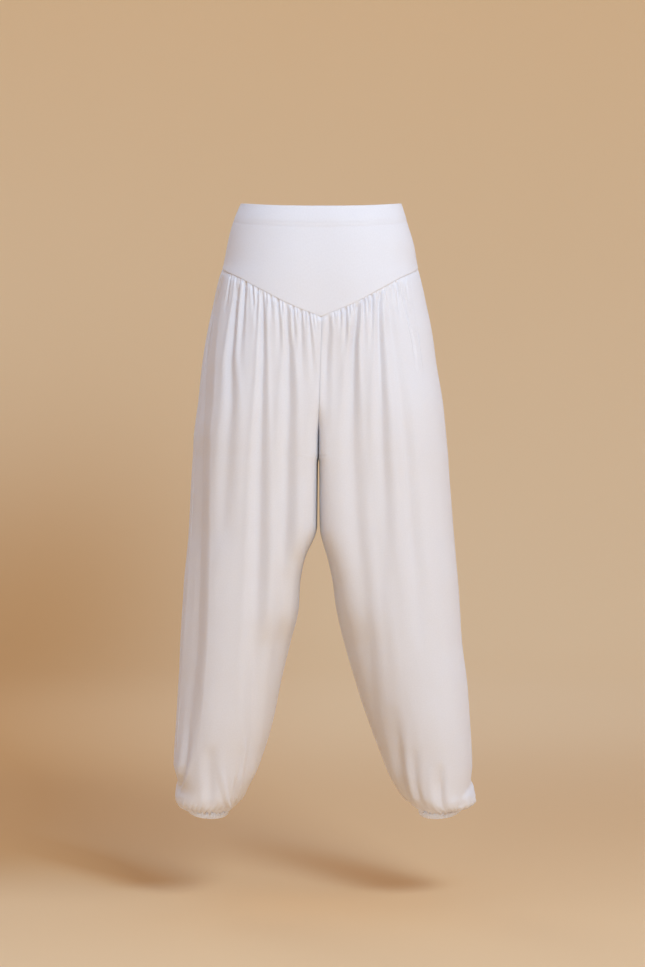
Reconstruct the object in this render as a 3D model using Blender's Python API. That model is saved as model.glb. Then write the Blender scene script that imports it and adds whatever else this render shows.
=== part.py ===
"""Full yoga trousers: a wide yoke with a V seam, gathered leg panels and ribbed ankle cuffs.

Each piece is a wall of cloth with nothing inside it, in the shape it has when worn. The front faces -Y, +Z
is up, and the origin is the centre of the waist's upper edge. Left and right are those of a viewer who faces
the front, so left is -X. All sizes below are in millimetres, and heights are given as drops below the waist's
upper edge.
"""

import functools
import math

import bmesh
import bpy
import numpy as np

MILLIMETRE = 0.001
GARMENT = "yoga_trousers"

# Cloth and seams
SEAM_GAP = 0.3
LEG_WALL = 1.7
YOKE_WALL = 2.0
CUFF_WALL = 2.4

# Waist and yoke. The lower edge rises from its point to the sides. The rises are the shares of that rise which
# are done at the given turns, which are shares of the way round the front.
WAIST_DIP = 14.0
WAIST_DIP_SHAPE = 1.5
CASING_DROP = 26.0
CASING_STEP = 0.5
CASING_STEP_RUN = 3.0
YOKE_TIP_DROP = 192.0
YOKE_SIDE_DROP = 101.5
YOKE_BACK_DROP = 116.0
YOKE_EDGE_TURNS = (0.0, 0.2, 0.41, 0.61, 1.0)
YOKE_EDGE_RISES = (0.0, 0.22, 0.5, 0.735, 1.0)
YOKE_COLUMNS = 17
YOKE_ROW_SHARES = (0.0, 0.25, 0.5, 0.75, 1.0)

# Centre seam, from the yoke's point down to the crotch
VALLEY = 2.0
VALLEY_RUN = 40.0
CREASE_START = 250.0
CROTCH_DROP = 411.0
SIDE_SQUARENESS = 2.1

# Cuffs. Their rings lean down to the front and up to the outside, and the hem above turns into that lean.
CUFF_SEAM_DROP = 976.5
CUFF_HEIGHT = 11.5
CUFF_BULGE = 0.6
CUFF_LEAN_FORWARD = 0.2
CUFF_LEAN_OUT = 0.08
CUFF_LEAN_START = 880.0
CUFF_LEAN_END = 945.0
CUFF_RIBS = 56
RIB_HEIGHT = 0.6
CUFF_INNER_COLUMNS = 28

# Sections of the garment. The out columns are the side outlines and the in columns the inside leg, or the
# centre seam above the crotch, both measured outwards from the middle plane. Front and back are the depths.
# Peak is where the front stands furthest out, as a share of the way from in to out, and square is how boxy
# the inside leg is.
SECTION_COLUMNS = ("drop", "left_out", "left_in", "right_in", "right_out", "front", "back", "peak", "square")
SECTIONS = (
    (0, 129, 0, 0, 130, 91, 96, 0.06, 4.0),
    (40, 144, 0, 0, 142.5, 102, 108, 0.08, 4.0),
    (70, 151, 0, 0, 151, 108, 115, 0.10, 4.0),
    (100, 157, 0, 0, 156, 113, 121, 0.12, 4.0),
    (130, 167, 0, 0, 164, 117, 127, 0.15, 4.0),
    (160, 174, 0, 0, 171, 120, 131, 0.18, 4.0),
    (207, 184, 0, 0, 181, 124, 137, 0.25, 4.0),
    (266, 193, 1, -1, 189, 125, 140, 0.36, 4.0),
    (324, 199, 2, -2, 198, 125, 140, 0.45, 4.0),
    (383, 206, 3, -3, 204, 123, 137, 0.49, 4.0),
    (411, 207, 3.3, -3.3, 207, 121, 135, 0.50, 4.0),
    (441, 209, 5.4, -1.4, 209, 119, 132, 0.50, 3.8),
    (522, 213, 7.0, 0.8, 215, 115, 126, 0.50, 3.2),
    (578, 217, 26, 12.5, 220, 112, 122, 0.50, 2.8),
    (610, 220, 32.5, 19.5, 223, 110, 119, 0.50, 2.6),
    (656, 223, 35, 25.5, 226, 108, 116, 0.50, 2.5),
    (715, 227, 50, 39, 230, 104, 110, 0.50, 2.3),
    (773, 230, 64, 56, 237, 100, 104, 0.50, 2.2),
    (851, 235, 81, 82, 243, 93, 95, 0.50, 2.1),
    (910, 238, 101, 105, 246, 84, 85, 0.50, 2.1),
    (939, 230, 117, 122, 242, 77, 77, 0.50, 2.0),
    (953, 235, 124, 132, 249, 71, 71, 0.50, 2.0),
    (963, 236, 133, 143, 251, 64, 64, 0.50, 2.0),
    (970, 234, 141, 152, 252, 55, 55, 0.50, 2.0),
    (974, 229, 146, 156, 248, 46, 46, 0.50, 2.0),
    (976, 223, 148.5, 158, 241, 38, 38, 0.50, 2.0),
    (976.5, 216, 150, 159.5, 226.5, 33, 33, 0.50, 2.0),
)

# The side seam lies this far inside the side outline, on the front.
SIDE_SEAM_INSET = {"left": 5.0, "right": 27.0}

# Gathers that run down from the yoke seam, in each panel
GATHER_COUNTS = {
    ("left", "front"): 14,
    ("left", "back"): 14,
    ("right", "front"): 12,
    ("right", "back"): 14,
}
COLUMNS_PER_GATHER = 3
GATHER_DEPTH = 2.8
GATHER_DEPTH_AT_SEAM = 0.5
GATHER_OPENS_OVER = 20.0
CUFF_GATHER_DEPTH = 3.6
CUFF_GATHER_START = 850.0
CUFF_GATHER_DEEPEST = 940.0

# How far down the gathers run, as a share of the way to the first level row, and how unevenly they fade
GATHER_FADE_END = 0.78
GATHER_FADE_SPREAD = 0.17
UNEVEN_HALF_WAVES = 5.0
UNEVEN_START = 1.0

# The largest folds, each a long soft trough. The at columns say how far out from the middle plane it lies at
# that drop, and from and to are the drops between which it runs.
FOLD_DROPS = (190, 320, 450, 560, 700, 820, 940)
FOLD_COLUMNS = (
    "leg", "half", "at_190", "at_320", "at_450", "at_560", "at_700", "at_820", "at_940",
    "depth", "width", "from_drop", "to_drop",
)
FOLDS = (
    ("left", "front", 172, 185, 189, 194, 201, 206, 217, 11.0, 15, 150, 975),
    ("left", "front", 141, 147, 154, 160, 165, 170, 175, 4.0, 8, 150, 560),
    ("left", "front", 95, 95, 98, 102, 107, 112, 120, 7.0, 11, 160, 830),
    ("left", "front", 56, 51, 54, 59, 68, 80, 95, 6.0, 10, 190, 800),
    ("right", "front", 56, 54, 57, 66, 77, 92, 112, 9.0, 12, 190, 900),
    ("right", "front", 93, 97, 101, 106, 112, 120, 130, 4.5, 9, 170, 600),
    ("right", "front", 114, 130, 144, 152, 161, 168, 180, 4.5, 10, 160, 880),
    ("left", "back", 55, 58, 64, 72, 84, 98, 120, 7.0, 12, 140, 860),
    ("left", "back", 96, 102, 110, 118, 128, 138, 150, 5.0, 10, 140, 640),
    ("left", "back", 136, 148, 156, 164, 172, 180, 186, 8.0, 12, 140, 930),
    ("right", "back", 48, 52, 60, 70, 82, 100, 120, 5.0, 10, 140, 620),
    ("right", "back", 88, 94, 100, 110, 122, 136, 150, 8.0, 12, 140, 900),
    ("right", "back", 130, 142, 152, 160, 170, 182, 196, 6.0, 11, 140, 800),
)
FOLD_FADE_IN = 70.0
FOLD_FADE_OUT = 130.0
SEAM_REST = 14.0

# Rows of each leg panel: shares of the way from the yoke seam to the first level row, then rows that fan out
# round the crotch, by their drops at the side seam and at the centre, and then level rows
LEVEL_DROP = 320.0
SLANTED_ROW_SHARES = (0.0, 0.05, 0.12, 0.22, 0.35, 0.52, 0.74)
FAN_ROWS = ((320, 320), (352, 355), (384, 384), (414, 402), (443, 411), (478, 448), (516, 500))
LEVEL_ROWS = (560, 610, 665, 720, 775, 830, 880, 915, 938, 953, 963, 970, 974, 976, 976.5)
SPREAD_END = 560.0
V_SLOPE_FACTOR = 1.1
ARC_POINTS = 60
SLOPE_STEP = 0.2
SEAM_PASSES = 6
SHARP_DEGREES = 50.0

# Colours and finishes: red, green, blue and roughness
YOKE_FINISH = (0.84, 0.83, 0.85, 0.75)
LEG_FINISH = (0.82, 0.81, 0.83, 0.8)
CUFF_FINISH = (0.78, 0.76, 0.77, 0.85)


def soft_step(value):
    """Go from 0 to 1 with level ends as the value goes from 0 to 1."""
    share = min(max(value, 0.0), 1.0)
    return share * share * (3.0 - 2.0 * share)


def curve_through(knots, heights):
    """Return a function that passes smoothly through the heights and never overshoots them."""
    knots = np.asarray(knots, float)
    heights = np.asarray(heights, float)
    spans = np.diff(knots)
    rises = np.diff(heights) / spans
    slopes = np.zeros(len(heights))
    slopes[0] = rises[0]
    slopes[-1] = rises[-1]
    for i in range(1, len(heights) - 1):
        if rises[i - 1] * rises[i] > 0.0:
            slopes[i] = 2.0 / (1.0 / rises[i - 1] + 1.0 / rises[i])

    def value(at):
        at = min(max(at, knots[0]), knots[-1])
        i = int(min(max(np.searchsorted(knots, at) - 1, 0), len(spans) - 1))
        t = (at - knots[i]) / spans[i]
        start = heights[i] * (1 + 2 * t) + slopes[i] * spans[i] * t
        end = heights[i + 1] * (3 - 2 * t) + slopes[i + 1] * spans[i] * (t - 1)
        return float(start * (1 - t) ** 2 + end * t ** 2)

    return value


def table_curves(columns, rows):
    """Turn a table whose first column is the drop into one smooth curve for each other column."""
    drops = [row[0] for row in rows]
    return {name: curve_through(drops, [row[i] for row in rows]) for i, name in enumerate(columns) if i > 0}


SIZE_AT = table_curves(SECTION_COLUMNS, SECTIONS)
YOKE_EDGE_RISE = curve_through(YOKE_EDGE_TURNS, YOKE_EDGE_RISES)
FOLD_LIST = [dict(zip(FOLD_COLUMNS, row)) for row in FOLDS]
for fold in FOLD_LIST:
    fold["place"] = curve_through(FOLD_DROPS, [fold[f"at_{drop}"] for drop in FOLD_DROPS])


def crease_depth(drop, depth):
    """How far the centre seam lies behind the front or back of the legs at this drop."""
    valley = VALLEY * soft_step((drop - YOKE_SIDE_DROP) / VALLEY_RUN)
    share = min(max((drop - CREASE_START) / (CROTCH_DROP - CREASE_START), 0.0), 1.0)
    turn = depth * (1.0 - math.sqrt(1.0 - share * share))
    return min(max(valley + turn, SEAM_GAP), depth - SEAM_GAP / 2)


def rounded_corner(across, depth, squareness, angles):
    """Points of a quarter of a rounded box, from its flat front at angle 0 to its side at a right angle."""
    sines = np.sin(angles)
    cosines = np.cos(angles)
    reach = (sines ** squareness + cosines ** squareness) ** (-1.0 / squareness)
    return across * sines * reach, depth * cosines * reach


@functools.lru_cache(maxsize=None)
def section_sizes(leg, drop):
    """The sizes of one leg's side of the section at a drop, with its four rounded corners.

    An inner corner runs on past the centre seam, so it has its own width across, and it is cut off at the
    angle where the seam lies in its crease.
    """
    size = {name: curve(drop) for name, curve in SIZE_AT.items()}
    outer = size[leg + "_out"]
    inner = size[leg + "_in"] + SEAM_GAP / 2
    peak = inner + size["peak"] * (outer - inner)
    sizes = {"outer": outer, "peak": peak, "side_across": outer - peak, "square": size["square"]}
    for half in ("front", "back"):
        depth = size[half]
        left_over = 1.0 - crease_depth(drop, depth) / depth
        reach = (1.0 - left_over ** size["square"]) ** (1.0 / size["square"])
        sizes[half] = depth
        sizes[half + "_across"] = (peak - inner) / reach
        sizes[half + "_angle"] = math.atan2(reach, left_over)
    return sizes


@functools.lru_cache(maxsize=None)
def half_loop(leg, drop):
    """Half of the garment's section, from the centre front round the side to the centre back.

    Gives the points' distance out from the middle plane and their y, the length along the loop, the number of
    the outermost point and the length at which the side seam lies.
    """
    sizes = section_sizes(leg, drop)
    peak = sizes["peak"]
    quarter = np.linspace(0.0, math.pi / 2, ARC_POINTS)
    stretches = []
    for half, way in (("front", -1), ("back", 1)):
        angles = np.linspace(0.0, sizes[half + "_angle"], ARC_POINTS)
        roll_out, roll_y = rounded_corner(sizes[half + "_across"], sizes[half], sizes["square"], angles)
        side_out, side_y = rounded_corner(sizes["side_across"], sizes[half], SIDE_SQUARENESS, quarter)
        out = np.concatenate([peak - roll_out[::-1], peak + side_out[1:]])
        along_y = way * np.concatenate([roll_y[::-1], side_y[1:]])
        stretches.append((out, along_y))
    (front_out, front_y), (back_out, back_y) = stretches
    out = np.concatenate([front_out, back_out[::-1][1:]])
    y = np.concatenate([front_y, back_y[::-1][1:]])
    length = np.concatenate([[0.0], np.cumsum(np.hypot(np.diff(out), np.diff(y)))])
    side = len(front_out) - 1
    peak_point = ARC_POINTS - 1
    seam_out = sizes["outer"] - SIDE_SEAM_INSET[leg]
    seam = float(np.interp(seam_out, out[peak_point:side + 1], length[peak_point:side + 1]))
    return {"out": out, "y": y, "length": length, "side": side, "seam": seam}


def inner_share(leg, half, drop):
    """Share of a panel's width that lies between its centre edge and the peak.

    Below the first level row it no longer follows the growing crease, so that columns don't slide round the
    crotch.
    """
    loop = half_loop(leg, min(drop, LEVEL_DROP))
    whole = loop["length"][-1]
    if half == "front":
        natural = loop["length"][ARC_POINTS - 1] / loop["seam"]
    else:
        natural = (whole - loop["length"][-ARC_POINTS]) / (whole - loop["seam"])
    return natural + (0.5 - natural) * soft_step((drop - LEVEL_DROP) / (SPREAD_END - LEVEL_DROP))


def length_along(leg, half, share, drop):
    """Length from the centre front to a share of the way across a panel."""
    loop = half_loop(leg, drop)
    whole = loop["length"][-1]
    inner = inner_share(leg, half, drop)
    if half == "front":
        peak = loop["length"][ARC_POINTS - 1]
        return float(np.interp(share, (0.0, inner, 1.0), (0.0, peak, loop["seam"] - SEAM_GAP / 2)))
    peak = loop["length"][-ARC_POINTS]
    return float(np.interp(share, (0.0, 1.0 - inner, 1.0), (loop["seam"] + SEAM_GAP / 2, peak, whole)))


def side_length(leg, drop):
    """Length along the loop from the centre front to the outermost point."""
    loop = half_loop(leg, drop)
    return loop["length"][loop["side"]]


def cuff_centre(leg):
    """How far out from the middle plane the cuff's centre lies."""
    return (SIZE_AT[leg + "_out"](CUFF_SEAM_DROP) + SIZE_AT[leg + "_in"](CUFF_SEAM_DROP)) / 2


def cuff_lean(leg, out, y):
    """How much higher than its centre a point of the cuff's leaning plane lies."""
    return CUFF_LEAN_FORWARD * y + CUFF_LEAN_OUT * (out - cuff_centre(leg))


def loop_point(leg, along, drop):
    """The plain surface's point at a length along the half loop."""
    loop = half_loop(leg, drop)
    out = np.interp(along, loop["length"], loop["out"])
    y = np.interp(along, loop["length"], loop["y"])
    leaning = soft_step((drop - CUFF_LEAN_START) / (CUFF_LEAN_END - CUFF_LEAN_START))
    return np.array([out, y, leaning * cuff_lean(leg, out, y) - drop])


def outsideness(leg, out, y, drop):
    """A measure that is 1 on the plain surface and grows outwards, whose slope is the surface's normal."""
    sizes = section_sizes(leg, min(max(drop, 0.0), CUFF_SEAM_DROP))
    half = "front" if y < 0.0 else "back"
    if out > sizes["peak"]:
        across = sizes["side_across"]
        squareness = SIDE_SQUARENESS
    else:
        across = sizes[half + "_across"]
        squareness = sizes["square"]
    return (abs(out - sizes["peak"]) / across) ** squareness + (abs(y) / sizes[half]) ** squareness


def plain_normal(leg, along, drop):
    """Outward normal of the plain surface, tilted with it where it turns into the cuff's lean."""
    loop = half_loop(leg, drop)
    out = np.interp(along, loop["length"], loop["out"])
    y = np.interp(along, loop["length"], loop["y"])
    level = min(max(drop, SLOPE_STEP), CUFF_SEAM_DROP - SLOPE_STEP)
    slopes = []
    for step in SLOPE_STEP * np.identity(3):
        ahead = outsideness(leg, out + step[0], y + step[1], level - step[2])
        behind = outsideness(leg, out - step[0], y - step[1], level + step[2])
        slopes.append(ahead - behind)
    leaning = soft_step((drop - CUFF_LEAN_START) / (CUFF_LEAN_END - CUFF_LEAN_START))
    slopes[0] -= slopes[2] * leaning * CUFF_LEAN_OUT
    slopes[1] -= slopes[2] * leaning * CUFF_LEAN_FORWARD
    normal = np.array(slopes)
    return normal / np.linalg.norm(normal)


def turn_share(leg, along, drop):
    """How far round a point is: 0 at the centre front, 1 at the outermost point, 2 at the centre back."""
    to_side = side_length(leg, drop)
    if along <= to_side:
        return along / to_side
    return 1.0 + (along - to_side) / (half_loop(leg, drop)["length"][-1] - to_side)


def yoke_edge_drop(turn):
    """Drop of the yoke's lower edge: a V on the front, then a shallow dip round the back."""
    if turn <= 1.0:
        return YOKE_TIP_DROP + (YOKE_SIDE_DROP - YOKE_TIP_DROP) * YOKE_EDGE_RISE(turn)
    dip = math.sin((turn - 1.0) * math.pi / 2) ** 2
    return YOKE_SIDE_DROP + (YOKE_BACK_DROP - YOKE_SIDE_DROP) * dip


def seam_drop(leg, half, share):
    """Drop of the yoke seam above a share of a panel."""
    drop = YOKE_SIDE_DROP
    for _ in range(SEAM_PASSES):
        drop = yoke_edge_drop(turn_share(leg, length_along(leg, half, share, drop), drop))
    return drop


def fold_shape(leg, along, drop):
    """Depth of the large folds at a point. They die away towards the centre seams and the inside leg."""
    loop = half_loop(leg, drop)
    side = loop["side"]
    rest = min(along, loop["length"][-1] - along)
    total = 0.0
    for row in FOLD_LIST:
        if row["leg"] != leg or not row["from_drop"] < drop < row["to_drop"]:
            continue
        out = row["place"](drop)
        if row["half"] == "front":
            middle = np.interp(out, loop["out"][:side + 1], loop["length"][:side + 1])
        else:
            middle = np.interp(out, loop["out"][side:][::-1], loop["length"][side:][::-1])
        fade = soft_step((drop - row["from_drop"]) / FOLD_FADE_IN)
        fade *= soft_step((row["to_drop"] - drop) / FOLD_FADE_OUT)
        total += row["depth"] * fade * math.exp(-((along - middle) / row["width"]) ** 2)
    return total * soft_step(rest / SEAM_REST)


def gather_shape(leg, half, share, drop):
    """Height of the gathers under the yoke seam and above the cuff: waves with their hollows on the seams."""
    count = GATHER_COUNTS[leg, half]
    top = seam_drop(leg, half, share)
    below = drop - top
    wave = math.sin(UNEVEN_HALF_WAVES * math.pi * share + UNEVEN_START)
    fade_end = GATHER_FADE_END + GATHER_FADE_SPREAD * wave * math.sin(math.pi * share) ** 2
    opening = GATHER_DEPTH_AT_SEAM + (1.0 - GATHER_DEPTH_AT_SEAM) * soft_step(below / GATHER_OPENS_OVER)
    closing = 1.0 - soft_step(below / (LEVEL_DROP - top) / fade_end)
    height = -GATHER_DEPTH * opening * closing * math.cos(2 * math.pi * count * share)
    start = soft_step((drop - CUFF_GATHER_START) / (CUFF_GATHER_DEEPEST - CUFF_GATHER_START))
    end = soft_step((drop - CUFF_GATHER_DEEPEST) / (CUFF_SEAM_DROP - CUFF_GATHER_DEEPEST))
    return height - CUFF_GATHER_DEPTH * start * (1.0 - end) * math.cos(math.pi * count * share)


def leg_points(leg, half, share, drop):
    """The outer and inner points of a leg panel's wall."""
    along = length_along(leg, half, share, drop)
    normal = plain_normal(leg, along, drop)
    height = gather_shape(leg, half, share, drop) - fold_shape(leg, along, drop)
    outer = loop_point(leg, along, drop) + normal * height
    return on_side(leg, outer), on_side(leg, outer - normal * LEG_WALL)


def on_side(leg, point):
    """Turn a distance out from the middle plane into x."""
    way = -1.0 if leg == "left" else 1.0
    return (way * point[0], point[1], point[2])


def leg_rows(leg, half):
    """Rows of wall points down a leg panel: slanted ones under the yoke with all columns, then level ones."""
    columns = GATHER_COUNTS[leg, half] * COLUMNS_PER_GATHER
    shares = [i / columns for i in range(columns + 1)]
    tops = [seam_drop(leg, half, share) + SEAM_GAP * V_SLOPE_FACTOR for share in shares]
    rows = []
    for row_share in SLANTED_ROW_SHARES:
        drops = [top + (LEVEL_DROP - top) * row_share for top in tops]
        rows.append([leg_points(leg, half, share, drop) for share, drop in zip(shares, drops)])
    for side_drop, centre_drop in [*FAN_ROWS, *zip(LEVEL_ROWS, LEVEL_ROWS)]:
        row = []
        for share in shares[::2]:
            to_centre = 1.0 - share if half == "front" else share
            drop = side_drop + (centre_drop - side_drop) * to_centre ** 2
            row.append(leg_points(leg, half, share, drop))
        rows.append(row)
    return rows


def yoke_levels(turn, front_share):
    """Drops down one column of the yoke, each with how far it stands proud: the casing, then the rest."""
    top = WAIST_DIP * front_share ** WAIST_DIP_SHAPE
    casing = top + CASING_DROP
    below = casing + CASING_STEP_RUN
    edge = yoke_edge_drop(turn)
    levels = [(drop, CASING_STEP) for drop in (top, top + CASING_DROP / 2, casing)]
    return levels + [(below + (edge - below) * share, 0.0) for share in YOKE_ROW_SHARES]


def yoke_column(half, place):
    """Wall points down one column of a yoke piece.

    The place is -1 at the left side, 0 in the middle and 1 at the right side.
    """
    leg = "left" if place < 0 else "right"
    share = abs(place)

    def along_at(drop):
        to_side = side_length(leg, drop)
        if half == "front":
            return share * (to_side - SEAM_GAP / 2)
        whole = half_loop(leg, drop)["length"][-1]
        return whole - share * (whole - to_side - SEAM_GAP / 2)

    front_share = max(-loop_point(leg, along_at(0.0), 0.0)[1], 0.0) / SIZE_AT["front"](0.0)
    column = []
    for drop, proud in yoke_levels(share if half == "front" else 2.0 - share, front_share):
        along = along_at(drop)
        middle = loop_point(leg, along, drop)
        normal = plain_normal(leg, along, drop)
        if share == 0.0:
            middle[0] = 0.0
            normal[0] = 0.0
        outer = middle + normal * (YOKE_WALL / 2 + proud)
        inner = middle - normal * YOKE_WALL / 2
        column.append((on_side(leg, outer), on_side(leg, inner)))
    return column


def yoke_rows(half):
    """Rows of wall points down a yoke piece, from one side round to the other."""
    places = [i / YOKE_COLUMNS for i in range(-YOKE_COLUMNS, YOKE_COLUMNS + 1)]
    return list(zip(*[yoke_column(half, place) for place in places]))


def short_diagonals(upper, lower):
    """For each four-sided cell between two rows of points, whether its falling diagonal is the shorter."""
    choices = []
    for i in range(len(lower) - 1 if len(upper) == len(lower) else 0):
        choices.append(math.dist(upper[i], lower[i + 1]) <= math.dist(upper[i + 1], lower[i]))
    return choices


def add_patch(faces, upper, lower, falling=()):
    """Fill the strip between two rows of point numbers; the lower row may have half as many steps."""
    if len(upper) == len(lower):
        for i in range(len(upper) - 1):
            if i < len(falling) and not falling[i]:
                faces.append((upper[i], lower[i], upper[i + 1]))
                faces.append((upper[i + 1], lower[i], lower[i + 1]))
            else:
                faces.append((upper[i], lower[i], lower[i + 1]))
                faces.append((upper[i], lower[i + 1], upper[i + 1]))
        return
    for i in range(len(lower) - 1):
        first, middle, last = upper[2 * i:2 * i + 3]
        faces.append((first, lower[i], middle))
        faces.append((middle, lower[i], lower[i + 1]))
        faces.append((middle, lower[i + 1], last))


def wall_faces(rows):
    """Number the points of a wall's rows and list the faces that close it all round.

    Both skins of the wall are split along the same diagonals, so that they stay the same distance apart.
    """
    points = []
    outer = []
    inner = []
    for row in rows:
        outer.append(range(len(points), len(points) + len(row)))
        points += [pair[0] for pair in row]
        inner.append(range(len(points), len(points) + len(row)))
        points += [pair[1] for pair in row]
    faces = []
    for i in range(len(rows) - 1):
        falling = short_diagonals([pair[0] for pair in rows[i]], [pair[0] for pair in rows[i + 1]])
        add_patch(faces, outer[i], outer[i + 1], falling)
        add_patch(faces, inner[i], inner[i + 1], falling)
    for edge in (0, -1):
        add_patch(faces, outer[edge], inner[edge])
        add_patch(faces, [row[edge] for row in outer], [row[edge] for row in inner])
    return points, faces


def cloth_material(name, finish):
    """A plain cloth finish in one colour."""
    material = bpy.data.materials.new(name)
    material.use_nodes = True
    shader = material.node_tree.nodes["Principled BSDF"]
    shader.inputs["Base Color"].default_value = (*finish[:3], 1.0)
    shader.inputs["Roughness"].default_value = finish[3]
    shader.inputs["Metallic"].default_value = 0.0
    return material


def add_piece(collection, name, points, faces, finish):
    """Make one piece of the garment from its points and faces, with its own material."""
    mesh = bpy.data.meshes.new(name)
    mesh.from_pydata([[value * MILLIMETRE for value in point] for point in points], [], faces)
    shell = bmesh.new()
    shell.from_mesh(mesh)
    bmesh.ops.recalc_face_normals(shell, faces=shell.faces)
    shell.to_mesh(mesh)
    shell.free()
    mesh.shade_smooth()
    mesh.set_sharp_from_angle(angle=math.radians(SHARP_DEGREES))
    mesh.materials.append(cloth_material(name + "_cloth", finish))
    piece = bpy.data.objects.new(name, mesh)
    collection.objects.link(piece)
    return piece


def cuff_ring(leg, radius, drop, columns, rib_height):
    """One ring of a cuff in its leaning plane. Every second point stands out by the height of a rib."""
    centre = cuff_centre(leg)
    ring = []
    for i in range(columns):
        angle = 2 * math.pi * i / columns
        reach = radius + rib_height * (i % 2)
        out = centre + reach * math.cos(angle)
        y = reach * math.sin(angle)
        ring.append(on_side(leg, (out, y, cuff_lean(leg, out, y) - drop)))
    return ring


def add_cuff(collection, leg):
    """A ribbed band that closes the gathered leg at the ankle, smooth inside."""
    width = SIZE_AT[leg + "_out"](CUFF_SEAM_DROP) - SIZE_AT[leg + "_in"](CUFF_SEAM_DROP)
    radius = width / 2 - RIB_HEIGHT
    top = CUFF_SEAM_DROP + SEAM_GAP
    bottom = top + CUFF_HEIGHT
    middle = (top + bottom) / 2
    rings = []
    for drop, bulge in ((top, 0.0), (middle, CUFF_BULGE), (bottom, 0.0)):
        rings.append(cuff_ring(leg, radius + bulge, drop, 2 * CUFF_RIBS, RIB_HEIGHT))
    for drop in (bottom, top):
        rings.append(cuff_ring(leg, radius - CUFF_WALL, drop, CUFF_INNER_COLUMNS, 0.0))
    points = []
    numbers = []
    for ring in rings:
        first = len(points)
        points += ring
        numbers.append([*range(first, first + len(ring)), first])
    faces = []
    for upper, lower in ((0, 1), (1, 2), (3, 4)):
        add_patch(faces, numbers[upper], numbers[lower])
    step = 2 * CUFF_RIBS // CUFF_INNER_COLUMNS
    for outer, inner in ((numbers[2], numbers[3]), (numbers[0], numbers[4])):
        for i in range(CUFF_INNER_COLUMNS):
            ribs = outer[step * i:step * (i + 1) + 1]
            faces.append((*ribs, inner[i + 1], inner[i]))
    return add_piece(collection, "cuff_" + leg, points, faces, CUFF_FINISH)


def clear_scene():
    """Remove what the file holds, so that only the garment is in it."""
    for item in list(bpy.data.objects):
        bpy.data.objects.remove(item, do_unlink=True)


def build_garment():
    """Build every piece into one collection."""
    clear_scene()
    collection = bpy.data.collections.new(GARMENT)
    bpy.context.scene.collection.children.link(collection)
    for half in ("front", "back"):
        points, faces = wall_faces(yoke_rows(half))
        add_piece(collection, "yoke_" + half, points, faces, YOKE_FINISH)
        for leg in ("left", "right"):
            points, faces = wall_faces(leg_rows(leg, half))
            add_piece(collection, f"leg_{half}_{leg}", points, faces, LEG_FINISH)
    for leg in ("left", "right"):
        add_cuff(collection, leg)


build_garment()
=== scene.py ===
# %% [markdown]
# # White yoga trousers, dressed over their plain solids
#
# The trousers hang in the air in the shape that they have when worn. The plain solids give their place
# and their outline, and this lesson makes the cloth that covers them: a smooth yoke with a stitched
# casing, four gathered leg panels with long soft folds, and two ribbed ankle cuffs. The solids are loaded
# first, and nothing moves them.

# %% Load the solids and keep their box
import math

import bpy
import numpy as np
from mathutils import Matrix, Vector


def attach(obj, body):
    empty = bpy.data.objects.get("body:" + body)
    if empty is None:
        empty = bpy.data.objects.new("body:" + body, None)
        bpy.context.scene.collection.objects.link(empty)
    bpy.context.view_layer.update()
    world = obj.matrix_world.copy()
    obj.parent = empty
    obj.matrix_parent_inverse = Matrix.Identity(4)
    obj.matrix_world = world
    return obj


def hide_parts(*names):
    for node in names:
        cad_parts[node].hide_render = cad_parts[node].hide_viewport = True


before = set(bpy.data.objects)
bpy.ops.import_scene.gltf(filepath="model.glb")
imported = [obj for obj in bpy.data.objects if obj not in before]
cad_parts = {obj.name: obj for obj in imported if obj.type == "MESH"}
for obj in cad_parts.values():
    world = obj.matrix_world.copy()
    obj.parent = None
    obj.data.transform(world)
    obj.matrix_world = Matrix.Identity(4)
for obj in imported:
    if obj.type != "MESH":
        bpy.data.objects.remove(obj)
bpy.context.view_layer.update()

print("solids:", sorted(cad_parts))

# %% [markdown]
# ## Sizes
#
# All sizes are in millimetres, as a pattern cutter would give them, and heights are drops below the
# waist's upper edge. The front faces -Y, and left and right are those of someone who faces the front. The
# table of sections holds the garment's measured shape: how far out from the middle plane each side and
# each inside leg lies, and how deep the front and back are.

# %% Sizes of the garment
MILLIMETRE = 0.001
SEAM_GAP = 0.3
CLOTH_GAP = 0.06
WAIST_DIP = 14.0
WAIST_DIP_SHAPE = 1.5
YOKE_TIP_DROP = 192.0
YOKE_SIDE_DROP = 101.5
YOKE_BACK_DROP = 116.0
YOKE_EDGE_TURNS = (0.0, 0.2, 0.41, 0.61, 1.0)
YOKE_EDGE_RISES = (0.0, 0.22, 0.5, 0.735, 1.0)
VALLEY = 2.0
VALLEY_RUN = 40.0
CREASE_START = 318.0
CROTCH_DROP = 411.0
SIDE_SQUARENESS = 2.25
CUFF_SEAM_DROP = 976.5
CUFF_LEAN_FORWARD = 0.2
CUFF_LEAN_OUT = 0.08
CUFF_LEAN_START = 880.0
CUFF_LEAN_END = 945.0
SIDE_SEAM_INSET = {"left": 5.0, "right": 27.0}
LEVEL_DROP = 320.0
SPREAD_END = 560.0

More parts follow.
